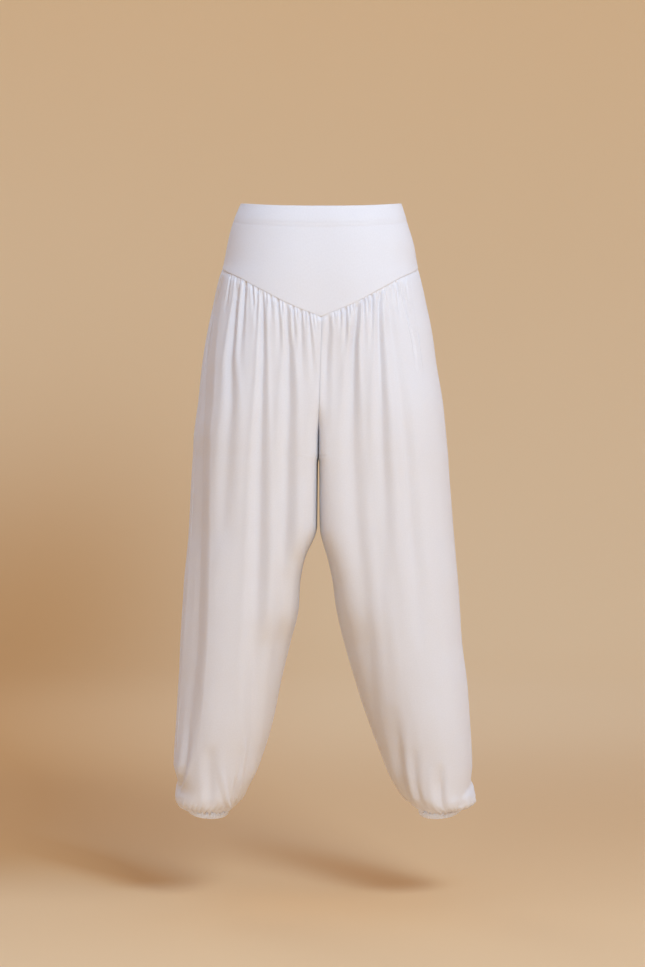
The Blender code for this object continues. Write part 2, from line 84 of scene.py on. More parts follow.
SECTION_COLUMNS = (
    "drop", "left_out", "left_in", "right_in", "right_out", "front", "back", "peak", "square",
)
SECTIONS = (
    (0, 129, 0, 0, 130, 91, 96, 0.06, 4.0),
    (40, 144, 0, 0, 142.5, 102, 108, 0.08, 4.0),
    (70, 151, 0, 0, 151, 108, 115, 0.10, 4.0),
    (100, 157, 0, 0, 156, 113, 121, 0.12, 4.0),
    (130, 167, 0, 0, 164, 117, 127, 0.15, 4.0),
    (160, 174, 0, 0, 171, 120, 131, 0.18, 5.0),
    (207, 184, 0, 0, 181, 124, 137, 0.25, 7.0),
    (266, 193, 1, -1, 189, 125, 140, 0.36, 10.0),
    (324, 199, 2, -2, 198, 125, 140, 0.45, 12.0),
    (383, 206, 3, -3, 204, 123, 137, 0.49, 12.0),
    (411, 207, 3.3, -3.3, 207, 121, 135, 0.50, 12.0),
    (420, 207.7, 4.9, -1.7, 207.5, 120.5, 134, 0.50, 11.4),
    (441, 209, 5.1, -1.5, 209, 119, 132, 0.50, 10.0),
    (522, 213, 5.4, -1.0, 215, 115, 126, 0.50, 6.5),
    (578, 217, 26, 12.5, 220, 112, 122, 0.50, 5.0),
    (610, 220, 32.5, 19.5, 223, 110, 119, 0.50, 4.2),
    (656, 223, 35, 25.5, 226, 108, 116, 0.50, 3.2),
    (715, 227, 50, 39, 230, 104, 110, 0.50, 2.3),
    (773, 230, 64, 56, 237, 100, 104, 0.50, 2.2),
    (851, 235, 81, 82, 243, 93, 95, 0.50, 2.1),
    (910, 238, 101, 105, 246, 84, 85, 0.50, 2.1),
    (939, 232, 117, 122, 244, 77, 77, 0.50, 2.0),
    (953, 235, 124, 132, 249, 71, 71, 0.50, 2.0),
    (963, 236, 133, 143, 251, 64, 64, 0.50, 2.0),
    (970, 234, 141, 152, 252, 55, 55, 0.50, 2.0),
    (974, 229, 146, 156, 248, 46, 46, 0.50, 2.0),
    (976, 223, 148.5, 158, 241, 38, 38, 0.50, 2.0),
    (976.5, 216, 150, 159.5, 226.5, 33, 33, 0.50, 2.0),
)
print("sections:", len(SECTIONS), "down to", SECTIONS[-1][0], "mm")

# %% [markdown]
# ## Smooth curves through the table
#
# A table gives a size only at its own rows, so each column is turned into a curve. A curve that
# overshoots would make bulges that no row asks for. This one is level wherever the numbers turn round, so
# that it never does.


# %% Curves
def soft_step(value):
    """Go from 0 to 1 with level ends as the value goes from 0 to 1."""
    share = np.clip(value, 0.0, 1.0)
    return share * share * (3.0 - 2.0 * share)


def curve_through(knots, heights):
    """Return a smooth curve through the heights that never overshoots them."""
    knots = np.asarray(knots, float)
    heights = np.asarray(heights, float)
    spans = np.diff(knots)
    rises = np.diff(heights) / spans
    slopes = np.concatenate([rises[:1], np.zeros(len(rises) - 1), rises[-1:]])
    for i in range(1, len(rises)):
        if rises[i - 1] * rises[i] > 0.0:
            slopes[i] = 2.0 / (1.0 / rises[i - 1] + 1.0 / rises[i])

    def value(at):
        at = np.clip(at, knots[0], knots[-1])
        i = np.clip(np.searchsorted(knots, at) - 1, 0, len(spans) - 1)
        t = (at - knots[i]) / spans[i]
        start = heights[i] * (1 + 2 * t) + slopes[i] * spans[i] * t
        end = heights[i + 1] * (3 - 2 * t) + slopes[i + 1] * spans[i] * (t - 1)
        return start * (1 - t) ** 2 + end * t ** 2

    return value


SIZE_AT = {
    name: curve_through([row[0] for row in SECTIONS], [row[i] for row in SECTIONS])
    for i, name in enumerate(SECTION_COLUMNS)
    if i > 0
}
print("left side seam at the knee lies", float(SIZE_AT["left_out"](600.0)), "mm out")

# %% [markdown]
# ## Half loops
#
# At each drop, half of the garment's section runs from the centre front round the side to the centre
# back. It is made of four rounded corners, and the centre seam lies in a crease that deepens down to the
# crotch. The loops are worked out once at many drops, closer together where the shape turns fast, and
# every piece of cloth reads its points from them.

# %% Sample drops and corners
NEAR_CROTCH = 400.0
CROTCH_SAMPLES = 60
NEAR_CUFF = 960.0
CUFF_SAMPLE_STEP = 0.1
DROPS = np.unique(np.concatenate([
    np.arange(0.0, NEAR_CROTCH, 1.0),
    CROTCH_DROP - (CROTCH_DROP - NEAR_CROTCH) * np.linspace(1.0, 0.0, CROTCH_SAMPLES) ** 2,
    np.arange(CROTCH_DROP, NEAR_CUFF, 1.0),
    np.arange(NEAR_CUFF, CUFF_SEAM_DROP, CUFF_SAMPLE_STEP),
    [CUFF_SEAM_DROP],
]))
ARC_POINTS = 72
LEAST_CREASE = 0.03


def crease_depth(drop, depth, valley):
    """How far the centre seam lies behind the front or back of the legs."""
    dip = valley * soft_step((drop - YOKE_SIDE_DROP) / VALLEY_RUN)
    share = np.clip((drop - CREASE_START) / (CROTCH_DROP - CREASE_START), 0.0, 1.0)
    turn = depth * (1.0 - np.sqrt(1.0 - share * share))
    return np.clip(dip + turn, LEAST_CREASE, depth - SEAM_GAP / 2)


def rounded_corner(across, depth, squareness, angles):
    """Points of a quarter of a rounded box, from its flat front to its side."""
    sines = np.sin(angles)
    cosines = np.cos(angles)
    reach = (sines ** squareness + cosines ** squareness) ** (-1.0 / squareness)
    return across * sines * reach, depth * cosines * reach


# %% The loops of one leg
def half_loops(leg, valley):
    """All half loops of one leg's side: a row for each sample drop."""
    size = {name: curve(DROPS)[:, None] for name, curve in SIZE_AT.items()}
    outer = size[leg + "_out"]
    inner = size[leg + "_in"] + SEAM_GAP / 2
    peak = inner + size["peak"] * (outer - inner)
    quarter = np.linspace(0.0, math.pi / 2, ARC_POINTS)[None, :]
    stretches = []
    for half, way in (("front", -1.0), ("back", 1.0)):
        depth = size[half]
        left_over = 1.0 - crease_depth(DROPS[:, None], depth, valley) / depth
        reach = (1.0 - left_over ** size["square"]) ** (1.0 / size["square"])
        angles = np.arctan2(reach, left_over) * np.linspace(0.0, 1.0, ARC_POINTS)[None, :]
        roll_out, roll_y = rounded_corner((peak - inner) / reach, depth, size["square"], angles)
        side_out, side_y = rounded_corner(outer - peak, depth, SIDE_SQUARENESS, quarter)
        out = np.concatenate([peak - roll_out[:, ::-1], peak + side_out[:, 1:]], axis=1)
        y = way * np.concatenate([roll_y[:, ::-1], side_y[:, 1:]], axis=1)
        stretches.append((out, y))
    (front_out, front_y), (back_out, back_y) = stretches
    out = np.concatenate([front_out, back_out[:, ::-1][:, 1:]], axis=1)
    y = np.concatenate([front_y, back_y[:, ::-1][:, 1:]], axis=1)
    steps = np.hypot(np.diff(out, axis=1), np.diff(y, axis=1))
    length = np.concatenate([np.zeros((len(DROPS), 1)), np.cumsum(steps, axis=1)], axis=1)
    side = front_out.shape[1] - 1
    seam_out = outer[:, 0] - SIDE_SEAM_INSET[leg]
    near_side = slice(ARC_POINTS - 1, side + 1)
    seam = [np.interp(seam_out[k], out[k, near_side], length[k, near_side]) for k in range(len(DROPS))]
    return {
        "out": out,
        "y": y,
        "length": length,
        "side": side,
        "seam": np.array(seam),
        "to_side": length[:, side],
        "whole": length[:, -1],
        "front_peak": length[:, ARC_POINTS - 1],
        "back_peak": length[:, -ARC_POINTS],
    }


LEGS = ("left", "right")
LEG_LOOPS = {leg: half_loops(leg, VALLEY) for leg in LEGS}
YOKE_LOOPS = {leg: half_loops(leg, 0.0) for leg in LEGS}
HIP_DROP = 200.0
for leg in LEGS:
    half_round = np.interp(HIP_DROP, DROPS, LEG_LOOPS[leg]["whole"])
    print(leg, "leg, half of the section at the hips:", round(half_round), "mm round")

# %% [markdown]
# ## Places on the cloth
#
# A place on a panel is given by its share of the way across and by its drop. The panel's columns follow
# the cloth's grain: above the hips they keep their spacing on both sides of the fullest point, and lower
# down they even out. Reading a place is only a look-up between two sample drops.


# %% Places on a panel
def read_at(table, drops):
    """Read each column of a table of samples at the drops of the same column."""
    k = np.clip(np.searchsorted(DROPS, drops) - 1, 0, len(DROPS) - 2)
    t = (drops - DROPS[k]) / (DROPS[k + 1] - DROPS[k])
    columns = np.arange(table.shape[1])
    return table[k, columns] * (1.0 - t) + table[k + 1, columns] * t


def places_along(loops, along):
    """Turn lengths along the loops, a row for each sample drop, into how far out and forward they lie."""
    out = np.array([np.interp(along[k], loops["length"][k], loops["out"][k]) for k in range(len(DROPS))])
    y = np.array([np.interp(along[k], loops["length"][k], loops["y"][k]) for k in range(len(DROPS))])
    return {"along": along, "out": out, "y": y}


def panel_places(leg, half, shares):
    """The columns of a leg panel at every sample drop."""
    loops = LEG_LOOPS[leg]
    frozen = np.searchsorted(DROPS, LEVEL_DROP)
    ease = soft_step((DROPS - LEVEL_DROP) / (SPREAD_END - LEVEL_DROP))
    if half == "front":
        natural = loops["front_peak"] / loops["seam"]
    else:
        natural = (loops["whole"] - loops["back_peak"]) / (loops["whole"] - loops["seam"])
    natural = np.where(DROPS < LEVEL_DROP, natural, natural[frozen])
    inner = natural + (0.5 - natural) * ease
    along = np.empty((len(DROPS), len(shares)))
    for k in range(len(DROPS)):
        if half == "front":
            lengths = (0.0, loops["front_peak"][k], loops["seam"][k] - CLOTH_GAP / 2)
            along[k] = np.interp(shares, (0.0, inner[k], 1.0), lengths)
        else:
            lengths = (loops["seam"][k] + CLOTH_GAP / 2, loops["back_peak"][k], loops["whole"][k])
            along[k] = np.interp(shares, (0.0, 1.0 - inner[k], 1.0), lengths)
    return places_along(loops, along)


# %% The yoke's lower edge
SEAM_ROUNDS = 8
YOKE_EDGE_RISE = curve_through(YOKE_EDGE_TURNS, YOKE_EDGE_RISES)


def yoke_edge_drop(turn):
    """Drop of the yoke's lower edge: a V on the front, then a shallow dip round the back."""
    front = YOKE_TIP_DROP + (YOKE_SIDE_DROP - YOKE_TIP_DROP) * YOKE_EDGE_RISE(turn)
    dip = np.sin((turn - 1.0) * math.pi / 2) ** 2
    back = YOKE_SIDE_DROP + (YOKE_BACK_DROP - YOKE_SIDE_DROP) * dip
    return np.where(turn <= 1.0, front, back)


def turn_share(leg, along, drop):
    """How far round a place is: 0 at the centre front, 1 at the outermost point, 2 at the centre back."""
    to_side = np.interp(drop, DROPS, LEG_LOOPS[leg]["to_side"])
    whole = np.interp(drop, DROPS, LEG_LOOPS[leg]["whole"])
    return np.where(along <= to_side, along / to_side, 1.0 + (along - to_side) / (whole - to_side))


def seam_drops(leg, places):
    """Drop of the yoke seam at the top of each column of a leg panel."""
    drop = np.full(places["along"].shape[1], YOKE_SIDE_DROP)
    for _ in range(SEAM_ROUNDS):
        along = read_at(places["along"], drop[None, :])[0]
        drop = yoke_edge_drop(turn_share(leg, along, drop))
    return drop


print("yoke edge:", float(yoke_edge_drop(0.0)), "mm at its point,", YOKE_SIDE_DROP, "mm at the sides")

# %% [markdown]
# ## Points and normals
#
# Near the ankle the cloth turns into the cuff, whose ring leans down to the front and up to the outside.
# The normals come from the finished grid of plain points, by crossing the way down a column with the way
# along a row, so they are right wherever the points are.


# %% Points and normals
def cuff_centre(leg):
    """How far out from the middle plane the cuff's centre lies."""
    return float(SIZE_AT[leg + "_out"](CUFF_SEAM_DROP) + SIZE_AT[leg + "_in"](CUFF_SEAM_DROP)) / 2


def cuff_lean(leg, out, y):
    """How much higher than its centre a place on the cuff's leaning plane lies."""
    return CUFF_LEAN_FORWARD * y + CUFF_LEAN_OUT * (out - cuff_centre(leg))


def plain_points(leg, out, y, drop):
    """Points of the plain surface, as seen in the garment's own axes."""
    leaning = soft_step((drop - CUFF_LEAN_START) / (CUFF_LEAN_END - CUFF_LEAN_START))
    way = -1.0 if leg == "left" else 1.0
    return np.stack([way * out, y, leaning * cuff_lean(leg, out, y) - drop], axis=-1)


def grid_normals(points, middle):
    """Unit normals of a grid of points, turned away from the middle."""
    normals = np.cross(np.gradient(points, axis=1), np.gradient(points, axis=0))
    normals /= np.maximum(np.linalg.norm(normals, axis=-1, keepdims=True), 1e-9)
    outward = (normals * (points - middle)).sum(axis=-1)
    return normals * np.sign(np.median(outward))


# %% [markdown]
# ## Folds
#
# A fold is a soft trough that runs down the leg, and each was placed one by one. Its stations give how
# far out it lies, how deep it is, and how far its two walls reach, towards the middle and away from it,
# because a fold in hanging jersey leans: one wall is steep and catches the light as a crisp crest, and
# the other is slow. Negative depths make a raised ridge. The back and the sides have their own, plainer
# folds of the same kind. On the back a fold's places are how far out it lies, and on the sides how far
# behind the outermost point.

# %% Folds on the front
FOLD_COLUMNS = ("drop", "out", "depth", "in_width", "out_width")
FRONT_FOLDS = {
    ("left", "outer"): (
        (118, 156, 0, 5, 6), (140, 162, 1.5, 5, 6), (165, 170.4, 2.5, 5, 6), (212, 178.4, 2.5, 5, 7),
        (259, 183.2, 2, 6, 8), (322, 186.4, 1.2, 6, 8), (401, 188.8, 0.8, 7, 9), (480, 191.2, 0.8, 8, 9),
        (558, 193.6, 0.8, 8, 9), (637, 196, 0.8, 8, 9), (716, 200, 0.8, 8, 9), (794, 208, 1.2, 8, 9),
        (857, 212.8, 2.5, 8, 9), (889, 216, 4, 8, 9), (914, 221.6, 5.5, 7, 8), (936, 227, 4, 6, 6),
        (955, 231, 0, 5, 5),
    ),
    ("left", "second"): (
        (120, 127, 0, 3, 3), (135, 129.8, 2, 3, 3), (168, 134.6, 4.5, 4, 4), (196, 137.7, 5.5, 5, 5),
        (228, 140.9, 5.5, 6, 6), (259, 143.2, 5, 7, 7), (322, 142.4, 4.5, 9, 9), (401, 147.2, 4, 11, 11),
        (480, 151.9, 3, 12, 12), (558, 155, 0, 12, 12),
    ),
    ("left", "third"): (
        (140, 91.3, 0, 3, 3), (154, 91.3, 3, 3, 3), (196, 91.3, 5.5, 4, 4), (243, 91.3, 6, 4.5, 4.5),
        (322, 92.9, 6.5, 6, 6), (401, 95.2, 7, 8, 8), (480, 96.8, 7, 9, 9), (558, 98.4, 6.5, 10, 10),
        (637, 101.5, 6, 11, 11), (716, 103.9, 5.5, 12, 12), (794, 107, 5, 12, 12),
        (857, 109.4, 4, 12, 12), (905, 111, 0, 10, 10),
    ),
    ("left", "fourth"): (
        (156, 53, 0, 3, 3), (171, 53, 3, 3, 3), (212, 52, 5, 4, 4), (243, 50.4, 6, 5, 5),
        (322, 50.4, 7, 8, 8), (401, 52.7, 7, 9, 9), (480, 54.3, 6.5, 10, 10), (558, 57.5, 6, 10, 10),
        (637, 60.6, 4.5, 11, 11), (716, 65.3, 3, 12, 12), (794, 71.6, 0, 12, 12),
    ),
    ("left", "inside_leg_ridge"): (
        (440, 28.5, 0, 6, 14), (480, 28.5, -1.6, 6, 14), (520, 29, -2.6, 6, 15),
        (560, 29.5, -2.6, 6, 15), (590, 30, -1.4, 6, 14), (620, 33, 0, 6, 12),
    ),
    ("left", "cuff_line"): (
        (900, 158, 0, 4, 5), (914, 155.3, -1.4, 4, 5), (938, 150.3, -2, 3.5, 4.5),
        (958, 146.9, -2, 3, 4), (968, 145.6, 0, 3, 4),
    ),
    ("left", "cuff_ridge"): (
        (852, 119, 0, 6, 6), (873, 120.4, -1.4, 6, 6), (908, 127.3, -1.8, 5, 6),
        (938, 132.4, -1.6, 5, 5), (957, 138, 0, 4, 4),
    ),
    ("left", "cuff_outer"): (
        (868, 176.5, 0, 10, 9), (895, 176.5, 2.6, 10, 9), (925, 176.5, 3.2, 9, 8), (950, 178, 2, 7, 6),
        (966, 180, 0, 5, 5),
    ),
    ("left", "cuff_inner"): (
        (846, 122, 0, 5, 5), (889, 126.7, 1.8, 5, 5), (913, 131.4, 2.6, 4, 4), (931, 136.2, 2.8, 4, 4),
        (951, 139.3, 2, 4, 4), (962, 142, 0, 4, 4),
    ),
    ("right", "centre"): (
        (184, 13.8, 0, 4, 3), (192, 13.4, 2.4, 4, 3), (212, 12.6, 3.4, 5, 4), (243, 10, 3.4, 6, 5),
        (275, 9, 2.8, 6, 5), (322, 8, 1.6, 7, 6), (390, 8, 0, 7, 6),
    ),
    ("right", "first"): (
        (156, 59, 0, 4, 3), (169.5, 58.2, 4, 4, 3), (196, 56.7, 6.5, 5, 3.5), (228, 53.5, 7.5, 6, 4),
        (259, 51.9, 7.5, 7, 5), (322, 50.4, 6, 9, 7), (369, 50.2, 4.5, 11, 9), (480, 54, 4, 14, 12),
        (558, 59.8, 4, 15, 13), (637, 66.9, 3.6, 15, 14), (716, 74.8, 3.2, 15, 14),
        (794, 82.6, 2, 14, 14), (842, 88.9, 0, 12, 12),
    ),
    ("right", "first_crest"): (
        (306, 66, 0, 7, 6), (369, 72, 0.8, 8, 7), (480, 80, 1.2, 9, 8), (558, 88, 1.2, 9, 8),
        (637, 96, 1.2, 9, 8), (716, 104, 1, 9, 8), (794, 110, 0, 9, 8),
    ),
    ("right", "dimple"): (
        (806, 116.5, 0, 11, 9), (842, 118.8, 2, 12, 10), (865, 121.2, 3.6, 12, 10),
        (892, 123.6, 4.5, 12, 10), (916, 127.5, 4.5, 11, 9), (938, 135.7, 3.6, 9, 8),
        (955, 142.4, 2.4, 7, 6), (968, 147, 0, 5, 5),
    ),
    ("right", "dimple_ridge"): (
        (850, 133, 0, 6, 6), (875, 135, -0.8, 6, 6), (903, 139, -1.2, 6, 6), (927, 145, -1.4, 6, 6),
        (947, 151, -1.2, 5, 5), (962, 155, 0, 5, 5),
    ),
    ("right", "second"): (
        (138, 94, 0, 3, 2.5), (150.6, 93.7, 3, 3, 2.5), (180.6, 92, 5, 4, 3.5), (212, 92.9, 5.5, 5, 4),
        (259, 94.4, 5.5, 6, 5), (322, 95.2, 5.5, 8, 7), (401, 96.8, 5, 10, 8), (480, 99.2, 4, 12, 10),
        (558, 101, 2.5, 12, 10), (630, 103, 0, 12, 10),
    ),
    ("right", "third"): (
        (134, 105, 0, 4, 4), (146, 106.2, 2, 4, 4), (173, 108.6, 3, 5, 5), (212, 113.3, 3.5, 7, 7),
        (243.5, 118, 3.5, 8, 8), (290.7, 123.6, 3.5, 9, 9), (322, 127.5, 4, 10, 10),
        (401, 136, 4.5, 10, 10), (480, 140, 4.5, 11, 11), (558, 147, 4, 12, 12), (637, 153.5, 3, 12, 12),
        (716, 157.4, 0, 12, 12),
    ),
    ("right", "sharp"): (
        (126, 123, 0, 2.5, 2.5), (136.5, 125.9, 1.5, 2.5, 2.5), (153.8, 129.9, 2.8, 2.5, 2.5),
        (180.6, 136, 3, 2.5, 2.5), (212, 143.2, 2.4, 2.5, 2.5), (235.6, 148, 1.8, 2.8, 2.8),
        (259, 150.3, 1, 3, 3), (290, 153.5, 0, 3, 3),
    ),
    ("right", "cuff_pocket"): (
        (896, 191, 0, 9, 6), (914, 191, 3, 9, 6), (930, 192, 5, 9, 5), (945, 193, 5, 8, 5),
        (958, 194, 3.4, 6, 5), (968, 194, 0, 5, 4),
    ),
    ("right", "cuff_inner"): (
        (875, 150, 0, 8, 6), (897, 150.3, 1.5, 8, 6), (920, 151.9, 2, 7, 6), (952, 163, 2, 6, 5),
        (966, 168, 0, 4, 4),
    ),
    ("right", "under_bulge"): (
        (940, 226, 0, 9, 9), (952, 226, 2, 9, 9), (960, 226, 2.5, 9, 9), (972, 222, 0, 8, 8),
    ),
}
print("front folds:", len(FRONT_FOLDS))

# %% Folds on the back and the sides
HIDDEN_FOLD_DROPS = (190, 320, 450, 560, 700, 820, 940)
HIDDEN_FOLD_COLUMNS = ("leg", "places", "depth", "width", "from_drop", "to_drop")
BACK_FOLDS = (
    ("left", (55, 58, 64, 72, 84, 98, 120), 9.0, 11, 135, 860),
    ("left", (96, 102, 110, 118, 128, 138, 150), 6.5, 9, 140, 640),
    ("left", (136, 148, 156, 164, 172, 180, 186), 10.0, 12, 145, 930),
    ("right", (48, 52, 60, 70, 82, 100, 120), 6.5, 9, 140, 620),
    ("right", (88, 94, 100, 110, 122, 136, 150), 10.0, 11, 135, 900),
    ("right", (130, 142, 152, 160, 170, 182, 196), 8.0, 11, 145, 800),
)
SIDE_FOLDS = (
    ("left", (25, 29, 28, 25, 21, 17, 14), 6.0, 11, 130, 900),
    ("left", (60, 68, 70, 64, 52, 42, 34), 7.0, 13, 125, 700),
    ("left", (92, 102, 108, 100, 84, 70, 56), 5.0, 10, 260, 900),
    ("right", (22, 26, 28, 26, 20, 16, 12), 5.5, 10, 125, 760),
    ("right", (52, 58, 60, 54, 44, 36, 30), 7.0, 13, 135, 920),
    ("right", (88, 98, 104, 98, 82, 66, 54), 5.0, 10, 220, 840),
)
HIDDEN_FOLD_STATIONS = 14
HIDDEN_FOLD_FADE_IN = 60.0
HIDDEN_FOLD_FADE_OUT = 130.0
HIDDEN_FOLD_TOP_WIDTH = 0.45
HIDDEN_FOLD_WIDENING = 220.0


def hidden_fold_stations(row):
    """Turn a row of the back's or the sides' table into stations like those of the front."""
    fold = dict(zip(HIDDEN_FOLD_COLUMNS, row))
    place = curve_through(HIDDEN_FOLD_DROPS, fold["places"])
    stations = []
    for drop in np.linspace(fold["from_drop"], fold["to_drop"], HIDDEN_FOLD_STATIONS):
        below_start = drop - fold["from_drop"]
        fade = soft_step(below_start / HIDDEN_FOLD_FADE_IN)
        fade *= soft_step((fold["to_drop"] - drop) / HIDDEN_FOLD_FADE_OUT)
        widening = (1.0 - HIDDEN_FOLD_TOP_WIDTH) * soft_step(below_start / HIDDEN_FOLD_WIDENING)
        width = fold["width"] * (HIDDEN_FOLD_TOP_WIDTH + widening)
        stations.append((drop, float(place(drop)), fold["depth"] * float(fade), width, width))
    return tuple(stations)


FOLDS = [(leg, "front", stations) for (leg, _), stations in FRONT_FOLDS.items()]
FOLDS += [(row[0], "back", hidden_fold_stations(row)) for row in BACK_FOLDS]
FOLDS += [(row[0], "side", hidden_fold_stations(row)) for row in SIDE_FOLDS]
print("folds in all:", len(FOLDS))

# %% [markdown]
# ## Gathers
#
# The leg cloth is wider than the yoke, so the seam draws it up in many small tucks. Each one starts at
# the seam as a narrow dark crease and runs out further down. On the front they follow the photograph one
# by one, and those on the sides go on in the same way. On the back, where nothing shows, a seeded row of
# numbers spreads similar ones unevenly.

# %% Gathers on the front and the sides
GATHER_COLUMNS = ("at_seam", "at_end", "length", "depth", "width")
FRONT_GATHERS = {
    "left": (
        (141.7, 154.2, 72, 2.2, 3.0), (133, 136, 35, 1.8, 2.2), (126.7, 133, 50, 1.5, 2.2),
        (118.8, 129.9, 155, 3.0, 4.0), (115, 118.8, 40, 1.5, 2.0), (107.8, 103, 60, 2.0, 2.6),
        (99.2, 101.5, 100, 2.0, 3.0), (95.5, 96.8, 30, 1.2, 1.8), (85.8, 85, 40, 1.6, 2.2),
        (78.7, 77, 50, 1.8, 2.6), (67.7, 62, 105, 2.4, 3.5), (61.4, 59, 42, 1.6, 2.2),
        (43.3, 41, 85, 2.4, 2.8), (37.8, 37, 30, 1.2, 2.0), (31.5, 27.5, 130, 2.2, 3.8),
        (24.7, 24.4, 30, 1.2, 2.0), (18.9, 9.4, 120, 2.2, 3.0), (13.4, 10, 35, 1.2, 1.8),
        (7.4, 5.5, 30, 1.0, 1.8),
    ),
    "right": (
        (21.2, 21.2, 30, 1.0, 2.0), (30.7, 31.5, 45, 1.4, 2.4), (39.4, 38.6, 105, 2.4, 3.4),
        (44.9, 44.9, 30, 1.2, 2.0), (50.4, 51, 45, 1.6, 2.2), (67.7, 69.3, 90, 2.0, 2.8),
        (73.2, 74.8, 40, 1.4, 2.0), (81, 80.3, 115, 2.2, 3.0), (88, 89, 35, 1.5, 2.0),
        (99.6, 101.5, 35, 1.2, 2.0), (112.5, 115.7, 40, 1.4, 2.2), (119.6, 126.7, 75, 1.8, 2.6),
        (133, 139.3, 45, 1.2, 2.2), (140, 147, 45, 1.0, 2.0),
    ),
}
SIDE_GATHERS = (
    (-22, -23, 45, 1.0, 2.2), (-15, -15, 80, 1.3, 2.6), (-9, -9, 35, 0.9, 2.0), (9, 10, 60, 1.4, 2.6),
    (16, 18, 110, 1.8, 3.0), (25, 25, 45, 1.4, 2.2), (32, 35, 90, 1.8, 2.8), (42, 43, 40, 1.5, 2.2),
    (50, 53, 70, 1.8, 2.6), (59, 63, 120, 2.0, 3.2), (68, 69, 40, 1.4, 2.2), (77, 80, 75, 1.7, 2.6),
)

# %% Gathers on the back
BACK_GATHER_COUNT = 19
BACK_GATHER_SEED = {"left": 5, "right": 11}
BACK_GATHER_FIRST = 6.0
BACK_GATHER_SPREAD = 146.0
BACK_GATHER_SHIFT = 0.3
BACK_GATHER_SLANT = 1.04
BACK_GATHER_LEAST = {"length": 32.0, "depth": 1.2, "width": 2.0}
BACK_GATHER_MORE = {"length": 90.0, "depth": 1.4, "width": 1.4}


def back_gathers(leg):
    """Uneven gathers for a hidden back panel, like those of the front."""
    pick = np.random.default_rng(BACK_GATHER_SEED[leg])
    rows = []
    for i in range(BACK_GATHER_COUNT):
        place = (i + 0.5 + pick.uniform(-BACK_GATHER_SHIFT, BACK_GATHER_SHIFT)) / BACK_GATHER_COUNT
        at_seam = BACK_GATHER_FIRST + BACK_GATHER_SPREAD * place
        strong = pick.uniform(0.0, 1.0)
        share = {"length": strong ** 2, "depth": strong, "width": strong}
        sizes = [least + BACK_GATHER_MORE[name] * share[name] for name, least in BACK_GATHER_LEAST.items()]
        rows.append((at_seam, at_seam * BACK_GATHER_SLANT, *sizes))
    return tuple(rows)


GATHERS = [(leg, "front", row) for leg in LEGS for row in FRONT_GATHERS[leg]]
GATHERS += [(leg, "back", row) for leg in LEGS for row in back_gathers(leg)]
GATHERS += [(leg, "side", row) for leg in LEGS for row in SIDE_GATHERS]
print("gathers:", len(GATHERS))

# %% [markdown]
# ## The height of the cloth
#
# All of this comes together as one number at each place: how far the cloth stands out from the plain
# surface. A trough's distance is measured along the section, so it keeps its width where the cloth turns
# away to the side.


# %% Troughs
FOLD_LIP = 0.2
LIP_PLACE = 1.9
LIP_WIDTH = 0.8


def line_along(leg, half, out_at):
    """Length along the half loops, at every sample drop, of a line on the front, the side or the back.

    The line is given by how far out it lies, but on the side by how far behind the outermost point.
    """
    loops = LEG_LOOPS[leg]
    side = loops["side"]
    if half == "side":
        return loops["to_side"] + out_at
    line = np.empty(len(DROPS))
    for k, out in enumerate(out_at):
        if half == "front":
            line[k] = np.interp(out, loops["out"][k, :side + 1], loops["length"][k, :side + 1])
        else:
            line[k] = np.interp(out, loops["out"][k, side:][::-1], loops["length"][k, side:][::-1])
    return line


def trough(distance, in_width, out_width, lip):
    """A soft trough of depth 1 with slightly raised lips. The distance is negative on its inner side."""
    reach = np.abs(distance) / np.where(distance < 0.0, in_width, out_width)
    return np.exp(-reach ** 2) - lip * np.exp(-((reach - LIP_PLACE) / LIP_WIDTH) ** 2)


def fold_height(leg, along, drop):
    """Height of all the long folds of a leg, from both its panels."""
    height = np.zeros_like(drop)
    for fold_leg, half, stations in FOLDS:
        if fold_leg != leg:
            continue
        fold = dict(zip(FOLD_COLUMNS, zip(*stations)))
        drops = fold["drop"]
        line = line_along(leg, half, curve_through(drops, fold["out"])(DROPS))
        distance = along - np.interp(drop, DROPS, line)
        if half != "front":
            distance = -distance
        depth = curve_through(drops, fold["depth"])(drop) * (drop > drops[0]) * (drop < drops[-1])
        in_width = curve_through(drops, fold["in_width"])(drop)
        out_width = curve_through(drops, fold["out_width"])(drop)
        height -= depth * trough(distance, in_width, out_width, FOLD_LIP)
    return height


# %% The side behind the left leg's outermost fold
SET_BACK_COLUMNS = ("drop", "crest", "depth")
SET_BACK = (
    (118, 149, 0), (135, 153, 8), (166, 160, 13), (213, 165.6, 15), (261, 169, 16), (325, 171.5, 16),
    (372, 176, 16), (578, 178.5, 16), (705, 181.7, 16), (768, 187, 15), (816, 191, 12), (870, 198, 6),
    (905, 206, 0),
)
SET_BACK_RUN = 23.0
SET_BACK_HOLD = 34.0
SET_BACK_FADE = 55.0
SET_BACK_AT_CREST = 0.17


def set_back(leg, along, drop):
    """How far back the side of the left leg lies, beyond the crest of its outermost fold."""
    if leg == "right":
        return np.zeros_like(drop)
    side = dict(zip(SET_BACK_COLUMNS, zip(*SET_BACK)))
    line = line_along(leg, "front", curve_through(side["drop"], side["crest"])(DROPS))
    beyond = along - np.interp(drop, DROPS, line)
    depth = curve_through(side["drop"], side["depth"])(drop)
    step = soft_step(beyond / SET_BACK_RUN + SET_BACK_AT_CREST)
    return depth * step * (1.0 - soft_step((beyond - SET_BACK_HOLD) / SET_BACK_FADE))


# %% Gathers as short troughs
GATHER_STRENGTH = 1.85
GATHER_TIGHTNESS = 0.56
GATHER_LIP = 0.2
GATHER_START = 6.0
GATHER_AT_SEAM = 0.2
GATHER_WIDENING = 0.9
GATHER_EARLY_FADE = 0.4


